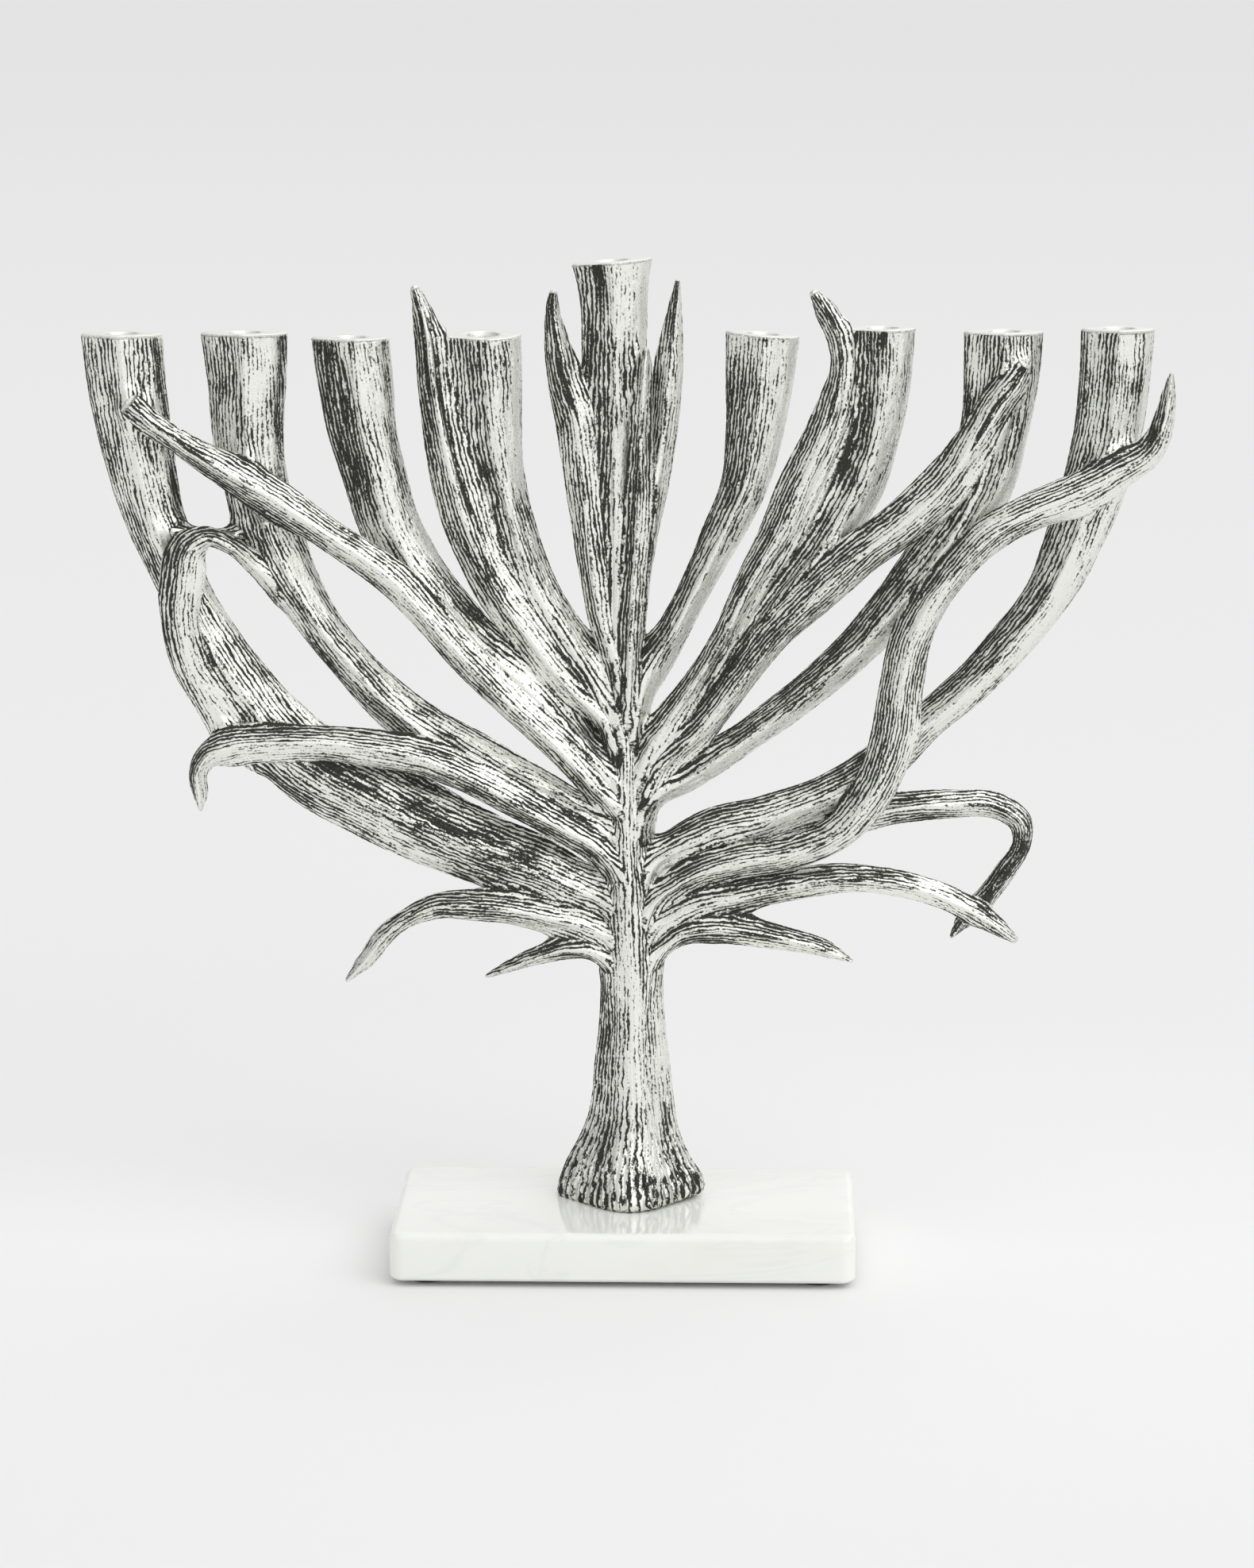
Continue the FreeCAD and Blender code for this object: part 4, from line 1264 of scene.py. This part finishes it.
ARMS: tuple[CandleArm, ...] = (
    CandleArm("shamash_arm", (
        (-3.4, 168.8, 7.8, 0.0), (-4.9, 189.9, 10.1, 0.0), (-5.5, 216.1, 11.9, 0.0),
        (-5.7, 242.2, 13.5, 0.0), (-5.5, 263.0, 16.0, 0.0), (-5.5, 283.7, 20.4, 0.0),
        (-5.8, 297.9, 21.7, 0.0), (-6.0, 305.0, 23.1, 0.0), (-6.5, 312.5, 26.0, 0.0)),
        11, hole="shamash_hole", creases=(Crease(0.90, 1.06, -0.35, -0.25, -0.5, 2.0, stain=0.6),)),
    CandleArm("candle_arm_4", (
        (-4.6, 157.5, 8.1, 0.0), (-13.2, 175.7, 13.2, 0.0), (-20.5, 187.2, 14.2, 0.0),
        (-30.1, 202.7, 14.5, 0.0), (-38.3, 224.6, 14.0, 0.0), (-42.9, 241.4, 15.9, 0.0),
        (-45.8, 256.4, 20.2, 0.0), (-47.3, 273.2, 23.2, 0.0), (-48.5, 288.5, 25.0, 0.0)),
        14, hole="candle_hole_4", keel=0.14, nod=5.0, creases=(PIT, CLEAN_SIDE)),
    CandleArm("candle_arm_5", (
        (2.1, 166.4, 7.6, 0.0), (6.6, 180.1, 12.4, 0.0), (14.4, 193.2, 10.5, 0.0),
        (22.8, 209.9, 11.1, 0.0), (30.5, 225.7, 13.6, 0.0), (36.7, 240.1, 15.6, 0.0),
        (39.8, 256.0, 18.4, 0.0), (41.6, 273.2, 21.9, 0.0), (42.5, 289.0, 23.5, 0.0)),
        15, hole="candle_hole_5", creases=(PIT,)),
    CandleArm("candle_arm_3", (
        (-2.9, 134.3, 7.5, 0.0), (-15.3, 151.8, 11.8, 0.0), (-35.1, 174.7, 13.2, 0.0),
        (-54.4, 191.5, 16.4, 0.0), (-66.7, 206.3, 17.3, 0.0), (-79.6, 227.2, 20.0, 0.0),
        (-84.0, 242.0, 20.8, 0.0), (-87.9, 257.6, 22.5, 0.0), (-89.9, 273.1, 24.3, 0.0),
        (-91.5, 287.5, 25.3, 0.0)), 13, hole="candle_hole_3", keel=0.08,
        creases=(PIT, DARK_EDGE, STAINED_SIDE)),
    CandleArm("candle_arm_6", (
        (7.2, 149.4, 9.4, 0.0), (22.8, 164.3, 9.8, 0.0), (35.5, 182.8, 11.2, 0.0),
        (48.4, 201.3, 13.4, 0.0), (62.3, 220.9, 16.2, 0.0), (72.5, 239.2, 18.9, 0.0),
        (78.3, 256.4, 17.8, 0.0), (80.8, 273.6, 19.6, 0.0), (81.0, 291.0, 21.6, 0.0)),
        16, hole="candle_hole_6", keel=0.05, creases=(PIT, STAINED_SIDE)),
    CandleArm("candle_arm_2", (
        (-3.6, 118.3, 12.6, 0.0), (-23.9, 132.9, 15.5, 0.0), (-44.8, 145.1, 16.2, 0.0),
        (-76.8, 164.8, 15.9, 0.0), (-92.7, 181.1, 13.7, 0.0), (-110.2, 206.0, 16.5, 0.0),
        (-119.8, 227.5, 21.8, 0.0), (-122.6, 238.0, 21.1, 0.0), (-125.2, 256.1, 23.1, 0.0),
        (-125.4, 273.0, 25.4, 0.0), (-126.0, 289.0, 28.2, 0.0)), 12, hole="candle_hole_2",
        creases=(DARK_EDGE, CLEAN_SIDE)),
    CandleArm("candle_arm_7", (
        (4.5, 133.6, 8.4, 0.0), (19.3, 143.5, 10.0, 0.0), (35.6, 154.7, 10.7, 0.0),
        (51.6, 166.8, 11.4, 0.0), (67.6, 180.2, 12.6, 0.0), (79.2, 191.9, 14.6, 0.0),
        (92.7, 208.4, 17.0, 0.0), (104.1, 224.0, 19.4, 0.0), (113.7, 241.1, 21.7, 0.0),
        (117.7, 257.5, 22.4, 0.0), (119.8, 273.5, 23.9, 0.0), (120.5, 290.0, 25.7, 0.0)),
        17, hole="candle_hole_7"),
    CandleArm("candle_arm_1", (
        (-2.7, 94.2, 13.0, 0.0), (-23.3, 107.8, 19.0, 0.0), (-51.4, 119.1, 24.4, 0.0),
        (-81.5, 133.5, 28.2, 0.0), (-110.8, 150.7, 26.5, 0.0), (-129.8, 174.7, 20.5, 0.0),
        (-147.7, 206.7, 16.6, 0.0), (-156.4, 229.3, 19.8, 0.0), (-161.0, 249.5, 23.1, 0.0),
        (-163.9, 267.7, 25.2, 0.0), (-166.0, 288.5, 26.4, 0.0)), 10, hole="candle_hole_1", keel=-0.1,
        creases=(DARK_EDGE, CLEAN_SIDE, Crease(0.12, 0.50, 0.0, 0.2, 0.0, 7.0, stain=0.35))),
    CandleArm("candle_arm_8", (
        (5.0, 111.0, 8.5, 0.0), (23.7, 123.2, 15.3, 0.0), (44.8, 129.2, 15.4, 0.0),
        (66.3, 137.6, 14.3, 0.0), (82.6, 148.0, 14.8, 0.0), (96.1, 160.9, 12.5, 0.0),
        (110.3, 173.2, 13.1, 0.0), (123.3, 187.4, 14.4, 0.0), (135.4, 202.9, 15.3, 0.0),
        (144.1, 221.9, 18.9, 0.0), (150.7, 240.1, 20.8, 0.0), (154.8, 257.7, 22.2, 0.0),
        (156.5, 273.7, 22.8, 0.0), (157.5, 291.0, 23.6, 0.0)), 18, hole="candle_hole_8",
        creases=(Crease(0.08, 0.42, 0.75, 0.75, -0.3, 3.0, stain=0.55),)),
)

LEAVES: tuple[Member, ...] = (
    Member("leaf_shamash_left", (
        (-4.7, 177.8, 5.0, 4.0), (-10.4, 197.7, 8.0, 4.0), (-13.1, 216.0, 10.0, 3.8),
        (-14.8, 232.0, 11.4, 3.4), (-16.6, 246.0, 12.4, 3.0), (-18.3, 261.3, 13.3, 2.4),
        (-22.0, 273.8, 11.2, 1.9), (-24.5, 286.4, 8.2, 1.6), (-25.7, 297.9, 4.2, 1.3),
        (-25.5, 301.8, 2.8, 1.2)), 31, thickness=7.0,
        creases=(Crease(0.72, 1.04, 0.05, 0.0, -0.9, 1.1, stain=0.9),)),
    Member("leaf_shamash_right", (
        (2.0, 192.9, 4.0, 3.0), (4.0, 212.4, 5.0, 2.9), (6.6, 229.2, 6.6, 2.9),
        (8.9, 244.8, 8.1, 2.5), (10.8, 260.4, 9.2, 2.0), (11.8, 274.2, 9.3, 1.6),
        (13.0, 289.0, 6.9, 1.3), (14.2, 299.6, 3.9, 1.0), (14.8, 305.9, 1.5, 0.9)),
        32, thickness=6.0, creases=(CHANNEL,)),
    Member("leaf_shamash_front", (
        (-0.6, 175.1, 5.0, 6.0), (-0.2, 193.6, 6.6, 6.6), (1.2, 213.0, 7.2, 6.9),
        (2.3, 231.0, 7.3, 7.3), (3.2, 253.6, 7.0, 7.9), (3.9, 269.1, 6.0, 8.0),
        (4.5, 279.7, 4.3, 8.0), (4.9, 284.0, 1.8, 8.0)), 33, thickness=6.0),
    Member("leaf_left_upright", (
        (-7.4, 158.7, 4.7, 3.0), (-21.3, 174.2, 8.1, 3.8), (-32.9, 189.5, 10.9, 4.5),
        (-44.2, 205.5, 13.6, 4.7), (-52.4, 223.4, 15.4, 5.0), (-57.2, 238.5, 15.4, 4.7),
        (-61.3, 256.2, 13.0, 4.2), (-64.4, 273.6, 10.3, 3.5), (-66.1, 289.0, 9.3, 2.8),
        (-68.4, 297.9, 5.9, 2.3), (-70.2, 303.0, 3.2, 2.0)), 34, thickness=8.0,
        creases=(Crease(0.78, 1.04, -0.35, -0.2, -0.7, 0.9, stain=0.7),
                 Crease(0.55, 0.97, 0.35, 0.30, -0.6, 0.9, stain=0.7))),
    Member("leaf_right_twisted", (
        (5.4, 151.9, 6.4, 3.0), (12.4, 162.8, 9.4, 3.5), (20.4, 174.4, 8.4, 4.1),
        (30.0, 190.4, 7.8, 4.7), (39.4, 209.7, 10.2, 4.9), (48.6, 225.6, 12.9, 5.0),
        (55.9, 241.7, 14.4, 4.8), (62.1, 255.7, 13.2, 4.6), (66.1, 268.0, 10.4, 4.3),
        (67.9, 280.0, 7.2, 3.9), (66.5, 289.0, 7.9, 3.5), (61.7, 298.1, 6.6, 3.2),
        (59.2, 301.9, 3.4, 3.0)), 35, thickness=8.0,
        creases=(Crease(0.74, 1.02, -0.1, 0.1, -0.7, 1.0, stain=0.7),
                 Crease(0.60, 0.97, 0.70, 0.70, 0.5, 0.9, polish=0.4))),
    Member("leaf_left_crossing", (
        (-2.4, 128.9, 6.0, 3.0), (-11.0, 138.8, 8.4, 4.3), (-24.2, 153.9, 10.3, 6.2),
        (-38.6, 167.5, 10.0, 7.4), (-52.0, 180.9, 10.6, 8.5), (-66.1, 196.7, 10.6, 9.1),
        (-80.2, 211.5, 11.5, 9.6), (-97.5, 223.4, 10.6, 9.9), (-115.3, 235.2, 13.6, 10.0),
        (-130.5, 244.4, 11.9, 10.0), (-145.3, 253.2, 8.5, 9.8), (-156.3, 261.1, 7.5, 9.6),
        (-162.1, 266.1, 5.2, 9.5)), 36, thickness=7.5, rows=300,
        creases=(Crease(0.86, 1.04, 0.1, 0.1, -0.5, 1.0, stain=0.6),)),
    Member("leaf_right_inner", (
        (8.0, 144.2, 8.0, 2.7), (23.1, 159.8, 9.3, 4.6), (34.6, 174.7, 9.0, 5.8),
        (46.5, 190.8, 10.5, 6.8), (60.0, 204.2, 12.9, 7.3), (74.1, 217.5, 13.8, 7.9),
        (88.4, 228.7, 15.2, 8.5), (101.5, 241.4, 15.3, 8.8), (110.9, 256.0, 11.6, 9.0),
        (117.3, 266.7, 9.8, 9.0), (123.7, 274.6, 8.0, 9.0), (126.6, 279.2, 2.4, 9.0)),
        37, thickness=8.0, rows=280,
        creases=(Crease(0.84, 1.04, 0.1, 0.0, -0.9, 1.3, stain=0.9),)),
    Member("leaf_right_crossing", (
        (6.1, 99.5, 5.8, 4.0), (18.4, 109.8, 8.8, 5.2), (33.6, 115.2, 10.4, 6.4),
        (52.4, 119.0, 10.8, 7.7), (68.9, 126.7, 11.5, 8.2), (79.1, 140.1, 13.6, 8.7),
        (85.9, 159.5, 14.8, 9.1), (88.1, 175.0, 14.4, 9.3), (91.3, 190.5, 13.2, 9.5),
        (97.0, 202.1, 11.5, 9.7), (105.3, 213.2, 10.7, 9.8), (116.5, 224.7, 11.8, 9.9),
        (128.9, 231.9, 12.7, 9.6), (142.4, 237.4, 13.7, 9.3), (156.6, 244.5, 11.4, 8.8),
        (169.0, 253.5, 8.7, 8.1), (172.2, 262.5, 6.8, 7.7), (173.7, 272.1, 3.8, 7.2),
        (174.3, 276.7, 1.5, 7.0)), 38, thickness=8.0, rows=380),
    Member("leaf_left_sweeping", (
        (-1.2, 105.6, 7.1, 3.4), (-11.1, 119.5, 11.0, 4.7), (-22.2, 126.5, 10.6, 5.8),
        (-36.4, 134.3, 10.1, 6.9), (-50.4, 142.0, 10.8, 7.5), (-66.5, 149.5, 12.1, 8.3),
        (-83.7, 153.2, 12.8, 8.4), (-103.3, 155.2, 11.1, 8.4), (-119.2, 154.7, 12.5, 8.2),
        (-130.4, 153.3, 13.2, 8.0), (-139.8, 149.6, 8.0, 7.9), (-142.2, 144.8, 6.3, 7.8),
        (-141.7, 137.7, 5.0, 7.7), (-141.6, 132.7, 1.5, 7.6)), 39, thickness=7.5, rows=280),
    Member("leaf_left_curled", (
        (-130.3, 156.1, 12.9, 2.4), (-137.4, 167.9, 12.5, 5.8), (-144.1, 181.5, 12.8, 9.1),
        (-147.3, 196.3, 12.5, 11.3), (-146.4, 207.9, 15.0, 11.9), (-142.7, 220.9, 12.4, 12.2),
        (-138.0, 223.3, 7.5, 11.8), (-130.4, 220.3, 6.0, 9.4), (-122.8, 213.0, 6.0, 5.6),
        (-114.5, 203.5, 5.0, 1.0)), 40, thickness=6.5, evening=7.0),
    Member("leaf_right_folded", (
        (70.3, 129.1, 11.5, 0.0), (85.4, 132.3, 11.2, 0.0), (105.5, 134.0, 9.8, -0.8),
        (120.2, 133.2, 9.0, -1.8), (128.4, 127.0, 7.9, -2.4), (128.8, 121.0, 6.5, -2.8),
        (122.9, 110.5, 6.9, -3.5), (115.8, 100.7, 7.1, -4.1), (110.4, 94.8, 6.1, -4.5),
        (105.9, 88.7, 1.5, -4.8)), 41, thickness=6.0, evening=5.0,
        creases=(Crease(0.50, 1.04, 0.0, 0.0, 0.0, 4.0, stain=0.4),)),
    Member("leaf_right_drooping", (
        (5.3, 89.0, 5.4, 2.4), (19.7, 99.8, 8.1, 3.2), (35.4, 103.5, 10.6, 3.8),
        (50.8, 106.9, 10.2, 3.6), (65.7, 109.5, 10.3, 3.4), (79.4, 109.2, 9.4, 2.6),
        (92.8, 106.7, 8.6, 1.7), (106.5, 101.5, 8.4, 1.1), (118.3, 94.9, 7.3, 0.7),
        (126.2, 88.9, 3.0, 0.4)), 42, thickness=6.5),
    Member("leaf_right_lowest", (
        (5.3, 79.7, 5.3, 2.4), (10.3, 85.9, 5.8, 2.7), (17.6, 90.9, 8.4, 2.9),
        (27.3, 92.4, 10.7, 3.3), (40.0, 91.3, 9.4, 3.4), (52.6, 88.8, 8.0, 2.6),
        (63.9, 85.5, 6.1, 1.8), (72.5, 81.5, 1.5, 1.2)), 43, thickness=6.5, rows=160),
    Member("leaf_left_drooping", (
        (-3.5, 84.3, 6.3, 2.4), (-14.6, 93.0, 9.2, 2.8), (-25.8, 95.9, 11.1, 3.1),
        (-38.5, 98.8, 11.3, 3.4), (-51.8, 100.0, 10.4, 3.8), (-65.2, 99.4, 8.9, 2.9),
        (-73.8, 95.5, 6.7, 2.3), (-80.7, 90.5, 6.7, 1.8), (-88.2, 80.8, 5.7, 1.0),
        (-94.4, 73.9, 1.5, 0.4)), 44, thickness=6.5),
    Member("leaf_left_lowest", (
        (-4.8, 78.7, 5.9, 2.7), (-13.4, 84.6, 6.9, 2.6), (-20.8, 85.4, 7.8, 2.5),
        (-29.8, 83.2, 6.6, 2.1), (-40.6, 78.8, 4.1, 1.0), (-47.9, 75.5, 1.5, 0.3)),
        45, thickness=5.5, rows=120),
    Member("bridge_left", (
        (-147.0, 224.0, 5.0, 4.0), (-141.0, 223.4, 4.2, 4.5), (-134.0, 223.2, 4.0, 4.0),
        (-127.0, 223.4, 4.6, 2.0), (-119.5, 222.6, 5.0, 0.0)),
        46, thickness=5.0, rows=80, stands=False),
)

TRUNK = Trunk("trunk", (
    (0.0, 0.0, 45.0, 0.0), (0.0, 0.5, 47.8, 0.0), (-0.1, 1.8, 49.7, 0.0), (-0.2, 4.4, 49.4, 0.0),
    (-0.4, 10.1, 45.0, 0.0), (-0.3, 14.6, 40.0, 0.0), (-0.1, 20.0, 34.6, 0.0),
    (0.2, 27.0, 29.9, 0.0), (0.3, 34.6, 27.3, 0.0), (0.1, 45.4, 25.2, 0.0), (0.1, 57.6, 22.4, 0.0),
    (0.1, 69.2, 20.8, 0.0), (0.1, 79.5, 20.4, 0.0), (-0.6, 96.9, 18.9, 0.0),
    (-1.6, 123.7, 14.7, 0.0), (-1.6, 150.3, 11.5, 0.0), (-2.9, 171.4, 7.8, 0.0),
    (-3.2, 183.0, 6.4, 0.0)), 21)


# ------------------------------------------------------------------ marble base
@dataclass
class MarbleBase:
    """Slab of marble with its pads, and the bolt and washer let into its underside."""

    corner: float = 5.0
    edge: float = 2.5
    arris: float = 1.0
    recess: float = 10.0
    recess_depth: float = 8.0
    bolt_hole: float = 4.5
    arc_steps: int = 12
    side_steps: int = 14
    pads: tuple[str, ...] = ("base_pad_front_left", "base_pad_front_right",
                             "base_pad_back_left", "base_pad_back_right")

    def outline(self, half: np.ndarray, inset: float) -> np.ndarray:
        """Rounded rectangle: four quarter circles joined by even steps along its sides.

        Args:
            half: half its length and half its width.
            inset: how far it lies inside the slab's own outline.

        Returns:
            Its points about its middle, one in each row.
        """
        radius = max(self.corner - inset, 0.3)
        turns = np.linspace(0.0, 0.5 * math.pi, self.arc_steps)
        places = []
        for k in range(4):
            angle = turns + 0.5 * math.pi * k
            sign = np.array([math.copysign(1.0, math.cos(angle.mean())),
                             math.copysign(1.0, math.sin(angle.mean()))])
            centre = sign * (half - inset - radius)
            places.append(centre + radius * np.stack([np.cos(angle), np.sin(angle)], 1))
        joined = []
        for k in range(4):
            joined.append(places[k])
            t = np.linspace(0.0, 1.0, self.side_steps)[1:-1, None]
            joined.append(places[k][-1] * (1.0 - t) + places[(k + 1) % 4][0] * t)
        return np.concatenate(joined)

    def slab(self, stem: np.ndarray) -> bpy.types.Object:
        """The slab as one closed ring of rows.

        Rows start at the bolt hole's mouth and go out over the top, round the edge, down the
        side, in under the arris, up the washer's recess and back up the bolt hole. Each row is
        a blend of the hole's circle about the stem and the slab's outline at an inset.

        Args:
            stem: the foot of the stem's axis.

        Returns:
            The object.
        """
        low, high = (np.array(c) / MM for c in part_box("marble_slab"))
        half, middle = (high - low)[:2] * 0.5, (high + low)[:2] * 0.5
        top, bottom = high[2], low[2]
        turns = np.linspace(0.0, 0.5 * math.pi, 9)
        plan = [(t, self.bolt_hole, self.edge, top) for t in (0.0, 0.03, 0.3, 0.7, 0.97)]
        plan += [(1.0, 0.0, self.edge * (1.0 - math.sin(t)), top - self.edge * (1.0 - math.cos(t)))
                 for t in turns]
        plan += [(1.0, 0.0, 0.0, z) for z in (top - self.edge - 0.3, 0.5 * (top + bottom),
                                               bottom + self.arris + 0.3, bottom + self.arris)]
        plan += [(1.0, 0.0, self.arris * t, bottom + self.arris * (1.0 - t)) for t in (0.5, 1.0)]
        plan += [(t, self.recess, self.arris, bottom) for t in (0.96, 0.6, 0.3, 0.04, 0.0)]
        plan += [(0.0, self.recess, 0.0, bottom + self.recess_depth * t) for t in (0.05, 0.95, 1.0)]
        plan += [(0.0, r, 0.0, bottom + self.recess_depth) for r in (9.0, 5.0, self.bolt_hole)]
        plan += [(0.0, self.bolt_hole, 0.0, bottom + self.recess_depth + z) for z in (0.4, 7.6)]
        spokes = self.outline(half, self.edge) + middle - stem[:2]
        spokes /= np.linalg.norm(spokes, axis=1, keepdims=True)
        rows = []
        for share, radius, inset, height in plan:
            circle = stem[:2] + radius * spokes
            level = circle * (1.0 - share) + (self.outline(half, inset) + middle) * share
            rows.append(np.column_stack([level, np.full(len(level), height)]))
        rows.reverse()
        grid = np.stack(rows + rows[:1])
        quads = tube_faces(len(grid), grid.shape[1]) % (len(rows) * grid.shape[1])
        return build_mesh("marble_slab_polished", np.concatenate(rows) * MM, [quads])

    def build(self, frame: dict, stem: np.ndarray) -> None:
        """Make the slab, and dress it, the pads, the bolt and the washer.

        Args:
            frame: what the frame holds.
            stem: the foot of the stem's axis.
        """
        slab = self.slab(stem)
        slab.data.materials.append(MarbleFinish().material())
        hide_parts("marble_slab")
        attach(slab, "root")
        LOG.info("%s: %d faces", slab.name, len(slab.data.polygons))
        rubber, steel = RubberFinish().material(), SteelFinish().material()
        for name in self.pads:
            self.carry(frame["nodes"][name], rubber)
        for name in ("base_bolt", "base_washer"):
            self.carry(frame["nodes"][name], steel)

    @staticmethod
    def carry(node: bpy.types.Object, material: bpy.types.Material) -> None:
        """Dress a node of the frame that is shown as it is.

        Args:
            node: the node's object.
            material: its material.
        """
        node.data.materials.clear()
        node.data.materials.append(material)
        LOG.info("%s: carried over", node.name)


# ------------------------------------------------------------------ studio
@dataclass
class Studio:
    """Pale floor, soft lamps, a plain sky, and the camera."""

    target: tuple[float, float, float] = (0.0004, 0.0040, 0.1583)
    distance: float = 1.773
    dip: float = 10.5
    yaw: float = 1.5
    lens: float = 123.64
    floor_radius: float = 40.0
    left_light: float = 0.73
    right_light: float = 1.23
    flank_light: float = 0.35
    top_light: float = 1.40

    def floor(self) -> None:
        """A wide level disc under the pads: rings of growing radius round its centre."""
        count = 96
        angle = TURN * np.arange(count) / count
        radii = np.array([0.6, 4.0, self.floor_radius])
        rings = radii[::-1, None, None] * np.stack([np.cos(angle), np.sin(angle)], -1)
        flat = np.concatenate([rings.reshape(-1, 2), np.zeros((1, 2))])
        points = np.column_stack([flat, np.zeros(len(flat))])
        faces = [tube_faces(3, count), cap_faces(2 * count, count, 3 * count, True)]
        disc = build_mesh("studio_floor", points, faces)
        disc.data.materials.append(FloorFinish().material())

    def lamp(self, name: str, place: tuple[float, float, float], size: float, power: float) -> None:
        """A square soft lamp aimed at the tree.

        Args:
            name: the lamp's name.
            place: where it hangs, in metres.
            size: the length of its sides, in metres.
            power: its power in watts.
        """
        data = bpy.data.lights.new(name, "AREA")
        data.shape = "SQUARE"
        data.size = size
        data.energy = power
        thing = bpy.data.objects.new(name, data)
        bpy.context.scene.collection.objects.link(thing)
        aim = np.array([0.0, 0.0, 0.17]) - np.array(place)
        thing.location = place
        thing.rotation_mode = "QUATERNION"
        thing.rotation_quaternion = Vector(aim).to_track_quat("-Z", "Y")

    def sky(self) -> None:
        """A plain sky: pale in front and to the right, dimmer to the left and at both sides behind.

        Its strength is one smooth step of the direction's sideways part, times one that falls
        where the direction leans back and to a side.
        """
        world = bpy.data.worlds.new("studio_sky")
        bpy.context.scene.world = world
        world.use_nodes = True
        sheet = NodeSheet("studio_sky", world.node_tree, "ShaderNodeOutputWorld")
        parts = sheet.tree.nodes.new("ShaderNodeSeparateXYZ")
        place = sheet.tree.nodes.new("ShaderNodeTexCoord")
        sheet.feed(parts.inputs[0], place.outputs["Generated"])
        aside, back, up = parts.outputs
        level = sheet.ease(aside, -0.7, 0.5, self.left_light, self.right_light)
        flank = sheet.math("MULTIPLY", sheet.ease(sheet.math("ABSOLUTE", aside), 0.60, 0.85),
                           sheet.ease(back, 0.0, 0.3))
        shade = sheet.math("MULTIPLY_ADD", flank, self.flank_light - 1.0, 1.0)
        top = sheet.ease(up, 0.1, 0.9, 1.0, self.top_light)
        glow = sheet.tree.nodes.new("ShaderNodeBackground")
        strength = sheet.math("MULTIPLY", sheet.math("MULTIPLY", level, shade), top)
        sheet.feed(glow.inputs["Strength"], strength)
        sheet.tree.links.new(glow.outputs[0], sheet.output.inputs[0])

    def camera(self) -> None:
        """The camera looks down at the target from its distance, turned by its yaw."""
        dip, yaw = math.radians(self.dip), math.radians(self.yaw)
        ahead = np.array([-math.sin(yaw) * math.cos(dip), math.cos(yaw) * math.cos(dip), -math.sin(dip)])
        data = bpy.data.cameras.new("camera")
        data.lens = self.lens
        data.sensor_width = 36.0
        data.clip_start, data.clip_end = 0.05, 100.0
        thing = bpy.data.objects.new("camera", data)
        bpy.context.scene.collection.objects.link(thing)
        thing.location = np.array(self.target) - self.distance * ahead
        thing.rotation_mode = "QUATERNION"
        thing.rotation_quaternion = Vector(ahead).to_track_quat("-Z", "Y")
        bpy.context.scene.camera = thing

    def build(self) -> None:
        """Set up the floor, the light and the camera."""
        bpy.context.scene.view_settings.view_transform = "Standard"
        self.camera()
        self.floor()
        self.sky()
        self.lamp("key_lamp", (1.3, -1.3, 1.6), 1.4, 6.0)


def main() -> None:
    """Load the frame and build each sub-assembly in order."""
    logging.basicConfig(level=logging.INFO, format="%(name)s: %(message)s")
    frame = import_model()
    MOUNTS.extend(frame["record"]["mounts"])
    low, high = (np.array(c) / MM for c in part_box("trunk"))
    stem = np.array([0.5 * (low[0] + high[0]), 0.5 * (low[1] + high[1]), low[2]])
    Studio().build()
    MarbleBase().build(frame, stem)
    Casting([TRUNK, *ARMS, *LEAVES]).build(SilverFinish().material(), stem)


if __name__ == "__main__":
    main()
